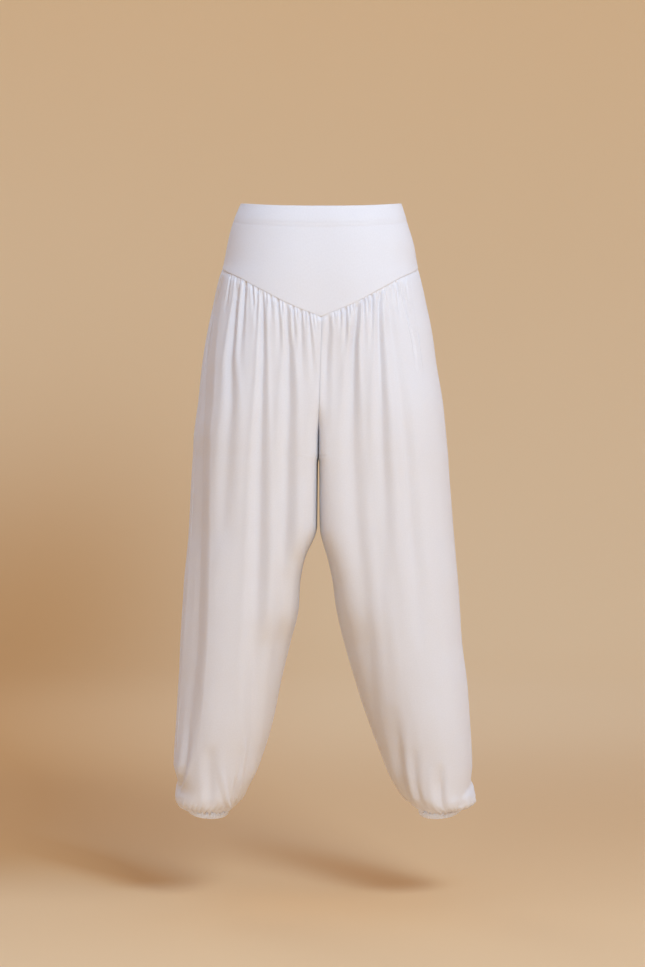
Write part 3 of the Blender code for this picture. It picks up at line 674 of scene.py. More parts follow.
def gather_height(leg, along, drop):
    """Height of the gathers below the yoke seam."""
    height = np.zeros_like(drop)
    loops = LEG_LOOPS[leg]
    for gather_leg, half, row in GATHERS:
        if gather_leg != leg:
            continue
        gather = dict(zip(GATHER_COLUMNS, row))
        start_line = line_along(leg, half, np.full(len(DROPS), gather["at_seam"]))
        top = YOKE_SIDE_DROP
        for _ in range(SEAM_ROUNDS):
            top = float(yoke_edge_drop(turn_share(leg, np.interp(top, DROPS, start_line), top)))
        run = np.clip((DROPS - top) / gather["length"], 0.0, 1.0)
        line = line_along(leg, half, gather["at_seam"] + (gather["at_end"] - gather["at_seam"]) * run)
        share = np.clip((drop - top) / gather["length"], 0.0, 1.0)
        start = GATHER_AT_SEAM + (1.0 - GATHER_AT_SEAM) * soft_step((drop - top) / GATHER_START)
        fade = (1.0 - share) * (1.0 - GATHER_EARLY_FADE * share) * start
        width = gather["width"] * (GATHER_TIGHTNESS + GATHER_WIDENING * share)
        distance = along - np.interp(drop, DROPS, line)
        height -= GATHER_STRENGTH * gather["depth"] * fade * trough(distance, width, width, GATHER_LIP)
    return height


# %% [markdown]
# ## Fullness at the seams and small unevenness
#
# Cloth that is gathered stands up right below the seam before it falls, so a low swelling runs under the
# yoke and above each cuff. At the ankle the elastic draws the hem into short uneven pleats. Real jersey
# is never quite smooth either, so slow ripples of less than a millimetre run down the whole leg. They are
# made from a seeded grid of heights that is read smoothly, and are the same on every run.


# %% Ripples
RIPPLE_COLUMNS = ("across_cell", "down_cell", "height")
RIPPLES = ((42.0, 300.0, 0.8), (15.0, 120.0, 0.28), (90.0, 60.0, 0.35))
GRAIN_START = 260.0


def ripples(across, down, across_cell, down_cell, seed):
    """Smooth uneven heights of about -1 to 1, from a seeded grid with cells of the given size."""
    columns = int(across.max() / across_cell) + 3
    rows = int(down.max() / down_cell) + 3
    heights = np.random.default_rng(seed).uniform(-1.0, 1.0, (rows, columns))
    i = np.floor(down / down_cell).astype(int)
    j = np.floor(across / across_cell).astype(int)
    s = soft_step(down / down_cell - i)
    t = soft_step(across / across_cell - j)
    upper = heights[i, j] * (1.0 - t) + heights[i, j + 1] * t
    lower = heights[i + 1, j] * (1.0 - t) + heights[i + 1, j + 1] * t
    return upper * (1.0 - s) + lower * s


def grain_across(leg, along, drop):
    """Length across the cloth from its fullest line, which the deepening crease doesn't shift."""
    return GRAIN_START + along - np.interp(drop, DROPS, LEG_LOOPS[leg]["front_peak"])


def ripple_height(across, drop, seed):
    """The slow unevenness of hanging jersey."""
    total = np.zeros_like(drop)
    for i, row in enumerate(RIPPLES):
        ripple = dict(zip(RIPPLE_COLUMNS, row))
        uneven = ripples(across, drop, ripple["across_cell"], ripple["down_cell"], seed + i)
        total += ripple["height"] * uneven
    return total


# %% Fullness
PUFF_HEIGHT = 2.2
PUFF_RISE = 9.0
PUFF_START = 0.35
PUFF_END = 80.0
HEM_PLEAT_COLUMNS = ("count", "height", "start")
HEM_PLEATS = ((17, 1.6, 0.4), (27, 2.3, 2.1), (37, 1.8, 4.4), (60, 0.6, 1.3))
HEM_PLEAT_RUN = 50.0
HEM_PLEAT_START = 2.0
HEM_PLEAT_LEAST = 0.75
HEM_PLEAT_CHANGE = 0.35
HEM_PLEAT_SWAY = 1.3
EDGE_DIP = 0.08
TOP_DIP = 0.1
EDGE_DIP_WIDTH = 1.3


def puff_height(below, facing):
    """Low swelling under the yoke seam, where the gathered cloth stands up."""
    rise = PUFF_START + (1.0 - PUFF_START) * soft_step(below / PUFF_RISE)
    fall = 1.0 - soft_step((below - PUFF_RISE) / (PUFF_END - PUFF_RISE))
    return PUFF_HEIGHT * rise * fall * np.abs(facing) - TOP_DIP * np.exp(-below / EDGE_DIP_WIDTH)


def hem_height(share, from_cuff):
    """Short uneven pleats above the cuff. They fade up the leg, each at its own length."""
    turn = math.pi * share
    total = np.zeros_like(from_cuff)
    for row in HEM_PLEATS:
        pleat = dict(zip(HEM_PLEAT_COLUMNS, row))
        start = pleat["start"]
        run = HEM_PLEAT_RUN * (HEM_PLEAT_LEAST + HEM_PLEAT_CHANGE * np.sin(3 * turn + start))
        fade = soft_step(from_cuff / HEM_PLEAT_START) * (1.0 - soft_step(from_cuff / run))
        sway = HEM_PLEAT_SWAY * np.sin(2 * turn + start)
        total += pleat["height"] * fade * np.cos(pleat["count"] * turn + start + sway)
    return total


def edge_dip(rest):
    """How far the cloth rolls down into a seam at this distance from it."""
    return -EDGE_DIP * np.exp(-(rest / EDGE_DIP_WIDTH) ** 2)


print("hem pleats:", [row[0] for row in HEM_PLEATS], "round a leg")

# %% [markdown]
# ## Rows and columns of a leg panel
#
# The grid of a panel follows the garment. Its first rows slant with the V seam, the next ones fan out
# round the crotch, and the last ones are level. They stand close together under the seam and at the cuff,
# where the cloth changes over a few millimetres.

# %% Rows
ROW_SPACING_DROPS = (0, 560, 850, 900, 945, 977)
GRIDS = {
    "front": {"columns": 286, "top_rows": 76, "fan_rows": 56, "spacing": (5.0, 5.0, 4.6, 3.0, 1.6, 1.1)},
    "back": {"columns": 160, "top_rows": 54, "fan_rows": 60, "spacing": (4.4, 4.4, 4.2, 3.0, 1.8, 1.4)},
}
TOP_ROW_EVENNESS = 0.45
V_SLOPE_FACTOR = 1.1


def level_drops(spacing):
    """Drops of the level rows, an even number of steps by the given spacing along the front's profile."""
    lower = DROPS >= SPREAD_END
    drops = DROPS[lower]
    steps = np.hypot(np.diff(drops), np.diff(SIZE_AT["front"](drops)))
    gaps = np.interp(drops[1:], ROW_SPACING_DROPS, spacing)
    count = np.concatenate([[0.0], np.cumsum(steps / gaps)])
    whole = 2 * math.ceil(count[-1] / 2)
    return np.interp(np.linspace(0.0, count[-1], whole + 1), count, drops)[1:]


def centre_drops(leg, half, steps):
    """Drops on the centre seam that are evenly spaced along it, round the crotch."""
    loops = LEG_LOOPS[leg]
    column = 0 if half == "front" else -1
    part = (DROPS >= LEVEL_DROP) & (DROPS <= SPREAD_END)
    drops = DROPS[part]
    run = np.hypot(np.diff(drops), np.diff(loops["y"][part, column]))
    run = np.hypot(run, np.diff(loops["out"][part, column]))
    length = np.concatenate([[0.0], np.cumsum(run)])
    return np.interp(np.linspace(0.0, length[-1], steps + 1), length, drops)


def leg_drops(leg, half, shares, tops):
    """The drop of every point of a leg panel's grid."""
    grid = GRIDS[half]
    steps = np.linspace(0.0, 1.0, grid["top_rows"] + 1)[:, None]
    down = TOP_ROW_EVENNESS * steps + (1.0 - TOP_ROW_EVENNESS) * steps ** 2
    first = tops + CLOTH_GAP * V_SLOPE_FACTOR
    slanted = first + (LEVEL_DROP - first) * down
    at_side = np.linspace(LEVEL_DROP, SPREAD_END, grid["fan_rows"] + 1)[1:, None]
    at_centre = centre_drops(leg, half, grid["fan_rows"])[1:, None]
    to_centre = 1.0 - shares if half == "front" else shares
    fanned = at_side + (at_centre - at_side) * to_centre
    level = np.repeat(level_drops(grid["spacing"])[:, None], len(shares), axis=1)
    return np.concatenate([slanted, fanned, level])


for half, grid in GRIDS.items():
    print(half, "panels:", grid["columns"], "columns and", len(level_drops(grid["spacing"])), "level rows")

# %% [markdown]
# ## From grids to meshes
#
# A leg panel is a closed thin wall: the outer skin carries all the fine form, and the inner skin takes
# only every second row and column, because nobody looks at it closely. A strip with three triangles to
# each pair of steps joins the two round the edge. A map of the cloth's own lengths, in metres, goes with
# each mesh, so that the knit keeps its size and follows the grain.


# %% Mesh helpers
SHARP_TURN = math.radians(76.0)


def add_mesh(name, points, faces, lengths):
    """Make an object from points in millimetres and faces, with the cloth's own lengths as a map."""
    mesh = bpy.data.meshes.new(name)
    mesh.from_pydata((points * MILLIMETRE).tolist(), [], faces)
    corners = np.empty(len(mesh.loops), dtype=np.int32)
    mesh.loops.foreach_get("vertex_index", corners)
    layer = mesh.uv_layers.new(name="cloth")
    layer.data.foreach_set("uv", (lengths[corners] * MILLIMETRE).astype(np.float32).ravel())
    mesh.shade_smooth()
    mesh.set_sharp_from_angle(angle=SHARP_TURN)
    piece = bpy.data.objects.new(name, mesh)
    bpy.context.scene.collection.objects.link(piece)
    return piece


def grid_faces(numbers, flip):
    """Four-sided faces between the rows of a grid of point numbers."""
    corners = np.stack([numbers[:-1, :-1], numbers[1:, :-1], numbers[1:, 1:], numbers[:-1, 1:]], axis=-1)
    corners = corners.reshape(-1, 4)
    return (corners[:, ::-1] if flip else corners).tolist()


def edge_faces(dense, sparse, flip):
    """Triangles between a line of points and one with half as many steps."""
    faces = []
    for i in range(len(sparse) - 1):
        first, middle, last = dense[2 * i:2 * i + 3]
        near, far = sparse[i:i + 2]
        faces += [(first, near, middle), (middle, near, far), (middle, far, last)]
    return [face[::-1] for face in faces] if flip else faces


def wall(name, outer, inner, lengths, flip):
    """A closed wall from a dense outer grid and an inner grid with half as many steps each way."""
    dense = np.arange(outer[..., 0].size).reshape(outer.shape[:2])
    sparse = dense.size + np.arange(inner[..., 0].size).reshape(inner.shape[:2])
    faces = grid_faces(dense, flip) + grid_faces(sparse, not flip)
    faces += edge_faces(dense[0], sparse[0], flip)
    faces += edge_faces(dense[-1], sparse[-1], not flip)
    faces += edge_faces(dense[:, 0], sparse[:, 0], not flip)
    faces += edge_faces(dense[:, -1], sparse[:, -1], flip)
    points = np.concatenate([outer.reshape(-1, 3), inner.reshape(-1, 3)])
    both = np.concatenate([lengths.reshape(-1, 2), lengths[::2, ::2].reshape(-1, 2)])
    return add_mesh(name, points, faces, both)


def triangles(piece):
    """How many triangles a piece's faces come to."""
    return len(piece.data.loops) - 2 * len(piece.data.polygons)


def orientation(points, normals):
    """Positive if faces that run down a column and then along a row face the same way as the normals."""
    faces = np.cross(points[1:, :-1] - points[:-1, :-1], points[1:, 1:] - points[:-1, :-1])
    return float(np.median((faces * normals[:-1, :-1]).sum(axis=-1)))


def sheet_sizes(points):
    """Longest row, longest column and area of a grid of points, in metres."""
    across = np.linalg.norm(np.diff(points, axis=1), axis=-1).sum(axis=1).max()
    down = np.linalg.norm(np.diff(points, axis=0), axis=-1).sum(axis=0).max()
    sides = np.cross(points[1:, 1:] - points[:-1, :-1], points[1:, :-1] - points[:-1, 1:])
    area = np.linalg.norm(sides, axis=-1).sum() / 2
    return across * MILLIMETRE, down * MILLIMETRE, area * MILLIMETRE ** 2


# %% [markdown]
# ## The leg panels
#
# Each leg has a front and a back panel, cut wide and gathered at both ends. The outer skin is the plain
# surface moved out by the height of the cloth, and the inner skin lies the cloth's thickness behind it.

# %% Leg panels
LEG_CLOTH = 0.9
CENTRE_REST = 6.0
FOLD_START = 10.0
FOLD_AT_SEAM = 0.1
RIPPLE_SEEDS = {"left": 21, "right": 41}


def leg_grid(leg, half):
    """Plain points of a leg panel, their normals, and where on the cloth each of them lies."""
    shares = np.linspace(0.0, 1.0, GRIDS[half]["columns"] + 1)
    places = panel_places(leg, half, shares)
    tops = seam_drops(leg, places)
    drop = leg_drops(leg, half, shares, tops)
    along = read_at(places["along"], drop)
    plain = plain_points(leg, read_at(places["out"], drop), read_at(places["y"], drop), drop)
    plain[..., 1] += set_back(leg, along, drop)
    middle = plain.mean(axis=1, keepdims=True) * [1, 0, 1]
    normals = grid_normals(plain, middle)
    steps = np.linalg.norm(np.diff(plain, axis=0), axis=-1)
    from_cuff = np.concatenate([np.cumsum(steps[::-1], axis=0)[::-1], np.zeros((1, len(shares)))])
    spot = {"shares": shares, "along": along, "drop": drop, "below": drop - tops, "from_cuff": from_cuff}
    return plain, normals, spot


def leg_height(leg, half, spot, across, facing):
    """How far the cloth stands out from the plain surface at every point of a leg panel."""
    along = spot["along"]
    drop = spot["drop"]
    below = spot["below"]
    whole = np.interp(drop, DROPS, LEG_LOOPS[leg]["whole"])
    seam = np.interp(drop, DROPS, LEG_LOOPS[leg]["seam"])
    to_centre = np.minimum(along, whole - along)
    height = fold_height(leg, along, drop)
    height *= soft_step(to_centre / CENTRE_REST) * soft_step(FOLD_AT_SEAM + below / FOLD_START)
    height += gather_height(leg, along, drop)
    height += ripple_height(across, drop, RIPPLE_SEEDS[leg])
    height += puff_height(below, facing)
    height += hem_height(spot["shares"] if half == "front" else 1.0 + spot["shares"], spot["from_cuff"])
    return height + edge_dip(np.abs(along - seam)) + edge_dip(to_centre)


def leg_panel(leg, half):
    """Build one leg panel and return it with the size of its cloth."""
    plain, normals, spot = leg_grid(leg, half)
    across = grain_across(leg, spot["along"], spot["drop"])
    height = leg_height(leg, half, spot, across, normals[..., 1])
    outer = plain + normals * height[..., None]
    inner = (outer - normals * LEG_CLOTH)[::2, ::2]
    lengths = np.stack([across, spot["drop"]], axis=-1)
    flip = orientation(outer, normals) < 0.0
    piece = wall(f"leg_{half}_{leg}_cloth", outer, inner, lengths, flip)
    return piece, sheet_sizes(outer)


LEG_PIECES = {}
for leg in LEGS:
    for half in ("front", "back"):
        piece, sizes = leg_panel(leg, half)
        LEG_PIECES[f"leg_{half}_{leg}"] = (piece, sizes)
        print(piece.name, [round(size, 3) for size in sizes], triangles(piece), "triangles")

# %% [markdown]
# ## The yoke
#
# The yoke is a wide doubled band of the same jersey, so it is thicker and smoother than the legs. Its top
# edge is folded over the elastic and held by two rows of small stitches, which sink a little into the
# cloth. Its lower edge is turned under, so it rolls over to the gathered legs with a fine shadow below.
# It is built as a ring of rows that run down the outside, round the lower edge, up the inside and over
# the rolled top edge.

# %% Rows of the yoke
YOKE_COLUMNS = 240
YOKE_CLOTH = 2.0
YOKE_SKIN_ROWS = 56
ROLL_ROWS = 6
TOP_ROLL = 1.3
LOWER_ROLL = 0.7
ROW_CROWDING = 0.12
CASING_PROUD = 0.5
CASING_STEP = 8.0
STITCH_ROWS = (27.0, 33.5)
CASING_NARROWING = 7.0
STITCH_DIP = 0.16
STITCH_DIP_WIDTH = 1.6
RIM_ROW = 2.8
RIM_DIP = 0.3
RIM_DIP_WIDTH = 0.8
YOKE_RIPPLE = {"across_cell": 55.0, "down_cell": 48.0, "seed": 31}
YOKE_RIPPLE_HEIGHT = 0.35


def yoke_places(half, places):
    """The columns of a yoke piece at every sample drop, from its left side to its right side."""
    columns = {"along": [], "out": [], "y": []}
    for leg, part in (("left", places[places < 0]), ("right", places[places >= 0])):
        loops = YOKE_LOOPS[leg]
        share = np.abs(part)[None, :]
        to_side = loops["to_side"][:, None]
        whole = loops["whole"][:, None]
        if half == "front":
            along = share * (to_side - CLOTH_GAP / 2)
        else:
            along = whole - share * (whole - to_side - CLOTH_GAP / 2)
        found = places_along(loops, along)
        way = -1.0 if leg == "left" else 1.0
        columns["along"].append(way * (along if half == "front" else whole - along))
        columns["out"].append(way * np.where(share == 0.0, 0.0, found["out"]))
        columns["y"].append(found["y"])
    return {name: np.concatenate(parts, axis=1) for name, parts in columns.items()}


def yoke_grid(half):
    """Plain points, normals and heights of the yoke between its top and lower edges."""
    places = np.linspace(-1.0, 1.0, YOKE_COLUMNS + 1)
    columns = yoke_places(half, places)
    turn = np.abs(places) if half == "front" else 2.0 - np.abs(places)
    top_y = columns["y"][0]
    front_share = np.maximum(-top_y, 0.0) / SIZE_AT["front"](0.0)
    top = WAIST_DIP * front_share ** WAIST_DIP_SHAPE
    edge = yoke_edge_drop(turn)
    steps = np.linspace(0.0, 1.0, YOKE_SKIN_ROWS + 1)[:, None]
    spread = steps - ROW_CROWDING * np.sin(2 * math.pi * steps) / (2 * math.pi)
    first = top + TOP_ROLL
    drop = first + (edge - LOWER_ROLL - first) * spread
    x = read_at(columns["out"], drop)
    y = read_at(columns["y"], drop)
    plain = np.stack([x, y, -drop], axis=-1)
    normals = grid_normals(plain, plain * [0, 0, 1])
    return plain, normals, drop, top, read_at(columns["along"], drop)


# %% Yoke pieces
def casing_lift(along):
    """How much narrower the casing is than in the middle: most at the sides."""
    return CASING_NARROWING * (along / np.abs(along).max()) ** 2


def yoke_height(along, from_top):
    """How far the yoke's outside stands proud: the rim, the casing, its stitch lines and slow ripples."""
    level = from_top + casing_lift(along)
    height = CASING_PROUD * (1.0 - soft_step((level - STITCH_ROWS[0]) / CASING_STEP))
    height = height - RIM_DIP * np.exp(-((from_top - RIM_ROW) / RIM_DIP_WIDTH) ** 2)
    for row in STITCH_ROWS:
        height = height - STITCH_DIP * np.exp(-((level - row) / STITCH_DIP_WIDTH) ** 2)
    return height + YOKE_RIPPLE_HEIGHT * ripples(along - along.min(), from_top, **YOKE_RIPPLE)


def rolled_edge(outer_row, inner_row, way, roll):
    """Rows that turn over an edge, from one skin to the other: down for way 1 and up for way -1."""
    middle = (outer_row + inner_row) / 2
    arm = (outer_row - inner_row) / 2
    past = np.array([0.0, 0.0, -way * roll])
    angles = math.pi * np.arange(1, ROLL_ROWS) / ROLL_ROWS
    return [middle + arm * math.cos(angle) + past * math.sin(angle) for angle in angles]


def yoke_lengths(rows, along):
    """The cloth's own lengths at every point of a yoke piece's rows, round both skins."""
    levels = np.concatenate([[0.0], np.cumsum(np.linalg.norm(np.diff(rows[:, 0], axis=0), axis=-1))])
    lower_roll = np.repeat(along[-1:], ROLL_ROWS - 1, axis=0)
    upper_roll = np.repeat(along[:1], ROLL_ROWS - 1, axis=0)
    across = np.concatenate([along, lower_roll, along[::-1], upper_roll])
    return np.stack([across, np.broadcast_to(-levels[:, None], across.shape)], axis=-1)


def yoke_ends(numbers, flip):
    """Faces that close a yoke piece at its two side seams, between the outside and the inside."""
    skin = YOKE_SKIN_ROWS + 1
    inner_start = skin + ROLL_ROWS - 1
    faces = []
    for column, turned in ((0, flip), (-1, not flip)):
        ring = numbers[:, column].tolist()
        outer = ring[:skin]
        inner = ring[inner_start:inner_start + skin][::-1]
        ends = [[outer[i], inner[i], inner[i + 1], outer[i + 1]] for i in range(skin - 1)]
        ends.append([outer[-1], inner[-1], *ring[skin:inner_start][::-1]])
        ends.append([inner[0], outer[0], *ring[inner_start + skin:][::-1]])
        faces += [face[::-1] if turned else face for face in ends]
    return faces


def yoke_piece(half):
    """Build one yoke piece and return it with the size of its cloth."""
    plain, normals, drop, top, along = yoke_grid(half)
    half_wall = YOKE_CLOTH / 2
    from_side = np.abs(along).max(axis=1, keepdims=True) - np.abs(along)
    height = yoke_height(along, drop - top) + edge_dip(from_side)
    outside = plain + normals * (half_wall + height)[..., None]
    inside = plain - normals * half_wall
    lower = rolled_edge(outside[-1], inside[-1], 1, LOWER_ROLL)
    upper = rolled_edge(inside[0], outside[0], -1, TOP_ROLL)
    rows = np.array([*outside, *lower, *inside[::-1], *upper])
    numbers = np.arange(rows[..., 0].size).reshape(rows.shape[:2])
    flip = orientation(outside, normals) < 0.0
    faces = grid_faces(np.concatenate([numbers, numbers[:1]]), flip)
    faces += yoke_ends(numbers, flip)
    lengths = yoke_lengths(rows, along).reshape(-1, 2)
    piece = add_mesh(f"yoke_{half}_cloth", rows.reshape(-1, 3), faces, lengths)
    return piece, sheet_sizes(outside), (outside, normals, drop - top + casing_lift(along))


YOKE_PIECES = {}
for half in ("front", "back"):
    piece, sizes, skin = yoke_piece(half)
    YOKE_PIECES[half] = (piece, sizes, skin)
    print(piece.name, [round(size, 3) for size in sizes], triangles(piece), "triangles")

# %% [markdown]
# ## Stitches on the casing
#
# Two rows of real stitches hold the casing. Each is a short thread that dips into the cloth at both ends,
# built as a tiny spindle with five sides and laid along the row. They are all joined into one mesh for
# each yoke piece.

# %% Stitches
STITCH_PITCH = 3.2
STITCH_LENGTH = 2.5
STITCH_THICKNESS = 0.38
STITCH_LIFT = 0.1
STITCH_SIDES = 5
STITCH_AHEAD = 0.5
STITCH_RING_COLUMNS = ("place", "girth", "lift")
STITCH_RINGS = (
    (-0.5, 0.15, -0.25), (-0.3, 0.9, 0.05), (0.0, 1.0, 0.12), (0.3, 0.9, 0.05), (0.5, 0.15, -0.25),
)


def stitch_line(skin, row):
    """Points and normals along one stitch row of a yoke piece, evenly spaced."""
    outside, normals, from_top = skin
    line = []
    for j in range(outside.shape[1]):
        at = [np.interp(row, from_top[:, j], outside[:, j, axis]) for axis in range(3)]
        way = [np.interp(row, from_top[:, j], normals[:, j, axis]) for axis in range(3)]
        line.append(at + way)
    line = np.array(line)
    run = np.concatenate([[0.0], np.cumsum(np.linalg.norm(np.diff(line[:, :3], axis=0), axis=1))])
    count = int((run[-1] - STITCH_PITCH) / STITCH_PITCH)
    places = STITCH_PITCH + STITCH_PITCH * np.arange(count)
    middles = np.stack([np.interp(places, run, line[:, axis]) for axis in range(6)], axis=1)
    ahead = np.stack([np.interp(places + STITCH_AHEAD, run, line[:, axis]) for axis in range(3)], axis=1)
    return middles[:, :3], middles[:, 3:], ahead - middles[:, :3]


def stitch_points(middle, normal, along):
    """Points of one stitch, ring by ring from its tail to its head."""
    across = np.cross(along, normal)
    points = []
    for row in STITCH_RINGS:
        ring = dict(zip(STITCH_RING_COLUMNS, row))
        centre = middle + along * ring["place"] * STITCH_LENGTH + normal * (ring["lift"] + STITCH_LIFT)
        for side in range(STITCH_SIDES):
            angle = 2 * math.pi * side / STITCH_SIDES
            spoke = across * math.cos(angle) + normal * math.sin(angle)
            points.append(centre + spoke * ring["girth"] * STITCH_THICKNESS / 2)
    return points


def stitch_faces(first):
    """Faces of one stitch whose first point has this number."""
    numbers = first + np.arange(len(STITCH_RINGS) * STITCH_SIDES).reshape(-1, STITCH_SIDES)
    rings = np.concatenate([numbers, numbers[:, :1]], axis=1)
    return grid_faces(rings, True) + [numbers[0, ::-1].tolist(), numbers[-1].tolist()]


def add_stitches(name, skin):
    """Join all stitches of a yoke piece into one mesh."""
    points = []
    faces = []
    for row in STITCH_ROWS:
        for middle, normal, along in zip(*stitch_line(skin, row)):
            faces += stitch_faces(len(points))
            points += stitch_points(middle, normal / np.linalg.norm(normal), along / np.linalg.norm(along))
    points = np.array(points)
    return add_mesh(name, points, faces, points[:, [0, 2]])


STITCH_PIECES = {}
for half in ("front", "back"):
    STITCH_PIECES[half] = add_stitches(f"casing_stitches_{half}", YOKE_PIECES[half][2])
    print(STITCH_PIECES[half].name, triangles(STITCH_PIECES[half]), "triangles")

# %% [markdown]
# ## The cuffs
#
# A cuff is a narrow ring of ribbed elastic knit that closes the leg at the ankle. Its ribs stand out all
# round and sink at the two rolled edges. It is one closed ring whose profile goes down the outside, round
# the lower edge, up the inside and round the upper edge.

# %% Cuffs
CUFF_HEIGHT = 11.5
CUFF_BULGE = 0.6
CUFF_RIBS = 48
RIB_HEIGHT = 0.8
RIB_ROUNDNESS = 0.7
RIB_END = 0.08
RIB_END_SHAPE = 0.6
RIB_ON_EDGE = 0.35
CUFF_CLOTH = 2.4
CUFF_EDGE = 1.2
POINTS_PER_RIB = 9
CUFF_OUTSIDE_ROWS = 14
CUFF_INSIDE_ROWS = 6
CUFF_ROLL_ROWS = 5


def cuff_profile():
    """Rows of the cuff's section: how deep inside, how far down, and how much rib shows."""
    straight = CUFF_HEIGHT - 2 * CUFF_EDGE
    rows = []
    for i in range(CUFF_OUTSIDE_ROWS + 1):
        share = i / CUFF_OUTSIDE_ROWS
        rib = math.sin(math.pi * (RIB_END + (1.0 - 2 * RIB_END) * share)) ** RIB_END_SHAPE
        rows.append((-CUFF_BULGE * math.sin(math.pi * share), CUFF_EDGE + straight * share, rib))
    for i in range(1, CUFF_ROLL_ROWS):
        angle = math.pi * i / CUFF_ROLL_ROWS
        deep = CUFF_CLOTH / 2 * (1.0 - math.cos(angle))
        down = CUFF_HEIGHT - CUFF_EDGE * (1.0 - math.sin(angle))
        rows.append((deep, down, RIB_ON_EDGE * (1.0 - i / CUFF_ROLL_ROWS)))
    for i in range(CUFF_INSIDE_ROWS + 1):
        rows.append((CUFF_CLOTH, CUFF_EDGE + straight * (1.0 - i / CUFF_INSIDE_ROWS), 0.0))
    for i in range(1, CUFF_ROLL_ROWS):
        angle = math.pi * i / CUFF_ROLL_ROWS
        deep = CUFF_CLOTH / 2 * (1.0 + math.cos(angle))
        rows.append((deep, CUFF_EDGE * (1.0 - math.sin(angle)), RIB_ON_EDGE * i / CUFF_ROLL_ROWS))
    return rows


def add_cuff(leg):
    """Build one ribbed cuff and return it with the size of its cloth."""
    width = float(SIZE_AT[leg + "_out"](CUFF_SEAM_DROP) - SIZE_AT[leg + "_in"](CUFF_SEAM_DROP))
    radius = width / 2 - RIB_HEIGHT
    count = CUFF_RIBS * POINTS_PER_RIB
    angles = 2 * math.pi * np.arange(count) / count
    ribs = (0.5 + 0.5 * np.cos(CUFF_RIBS * angles)) ** RIB_ROUNDNESS
    way = -1.0 if leg == "left" else 1.0
    rows = []
    lengths = []
    for deep, down, rib in cuff_profile():
        reach = radius - deep + RIB_HEIGHT * rib * ribs
        out = cuff_centre(leg) + reach * np.cos(angles)
        y = reach * np.sin(angles)
        z = cuff_lean(leg, out, y) - (CUFF_SEAM_DROP + SEAM_GAP + down)
        rows.append(np.stack([way * out, y, z], axis=-1))
        lengths.append(np.stack([radius * angles, np.full_like(angles, -down)], axis=-1))
    rows = np.array(rows)
    numbers = np.arange(rows[..., 0].size).reshape(rows.shape[:2])
    ring = np.concatenate([numbers, numbers[:1]])
    ring = np.concatenate([ring, ring[:, :1]], axis=1)
    faces = grid_faces(ring, leg == "right")
    lengths = np.array(lengths).reshape(-1, 2)
    piece = add_mesh(f"cuff_{leg}_knit", rows.reshape(-1, 3), faces, lengths)
    girth = 2 * math.pi * (radius + RIB_HEIGHT / 2) * MILLIMETRE
    return piece, (girth, CUFF_HEIGHT * MILLIMETRE)


CUFF_PIECES = {leg: add_cuff(leg) for leg in LEGS}
for leg, (piece, sizes) in CUFF_PIECES.items():
    print(piece.name, [round(size, 3) for size in sizes], triangles(piece), "triangles")

# %% [markdown]
# ## Writing materials as sums
#
# A material is a set of nodes, and reading a long list of nodes is hard. So one small class stands for a
# node's output and lets Python's own signs add the maths nodes, and one method adds any other node. A
# material then reads like the sum that it is.


# %% Sockets that can be used in sums
class Term:
    """One output of a node, which plain Python signs turn into further nodes."""

    def __init__(self, finish, socket):
        self.finish = finish
        self.socket = socket

    def maths(self, operation, first, second=None):
        values = {0: first} if second is None else {0: first, 1: second}
        return self.finish.node("ShaderNodeMath", {"operation": operation}, values)

    def __add__(self, other):
        return self.maths("ADD", self, other)

    __radd__ = __add__

    def __sub__(self, other):
        return self.maths("SUBTRACT", self, other)

    def __rsub__(self, other):
        return self.maths("SUBTRACT", other, self)

    def __mul__(self, other):
        return self.maths("MULTIPLY", self, other)

    __rmul__ = __mul__

    def __abs__(self):
        return self.maths("ABSOLUTE", self)

    def sine(self):
        return self.maths("SINE", self)

    def fraction(self):
        return self.maths("FRACT", self)

    def bell(self, middle, width):
        """1 at the middle, falling softly to nothing on both sides."""
        share = (self - middle) * (1.0 / width)
        return self.maths("EXPONENT", share * share * -1.0)

    def ramp(self, start, end):
        """0 up to the start and 1 from the end on, with a soft step between."""
        settings = {"interpolation_type": "SMOOTHSTEP"}
        share = (self - start) * (1.0 / (end - start))
        return self.finish.node("ShaderNodeMapRange", settings, {"Value": share})


class Finish:
    """A material whose nodes are added one by one."""

    def __init__(self, name):
        self.material = bpy.data.materials.new(name)
        self.material.use_nodes = True
        self.tree = self.material.node_tree
        self.shader = self.tree.nodes["Principled BSDF"]

    def feed(self, socket, value):
        if isinstance(value, Term):
            self.tree.links.new(value.socket, socket)
        else:
            socket.default_value = value

    def node(self, kind, settings=None, values=None, output=0):
        made = self.tree.nodes.new(kind)
        for name, setting in (settings or {}).items():
            setattr(made, name, setting)
        for name, value in (values or {}).items():
            self.feed(made.inputs[name], value)
        return Term(self, made.outputs[output])

    def mix(self, share, first, second, blend="MIX"):
        settings = {"data_type": "RGBA", "blend_type": blend, "clamp_factor": True}
        return self.node("ShaderNodeMix", settings, {0: share, 6: first, 7: second}, 2)

    def set(self, **values):
        for name, value in values.items():
            self.feed(self.shader.inputs[name.replace("_", " ")], value)


# %% [markdown]
# ## White jersey
#
# The cloth is a soft matt white jersey. Close up, its face is made of columns of small V-shaped loops, so
# the bump is worked out from the map of the cloth's lengths: a column's two slanting arms meet in the
# middle, course after course. A faint slow change of tone and of roughness keeps it from looking like
# plastic, and a little sheen gives the soft bright edge of fine fibres.

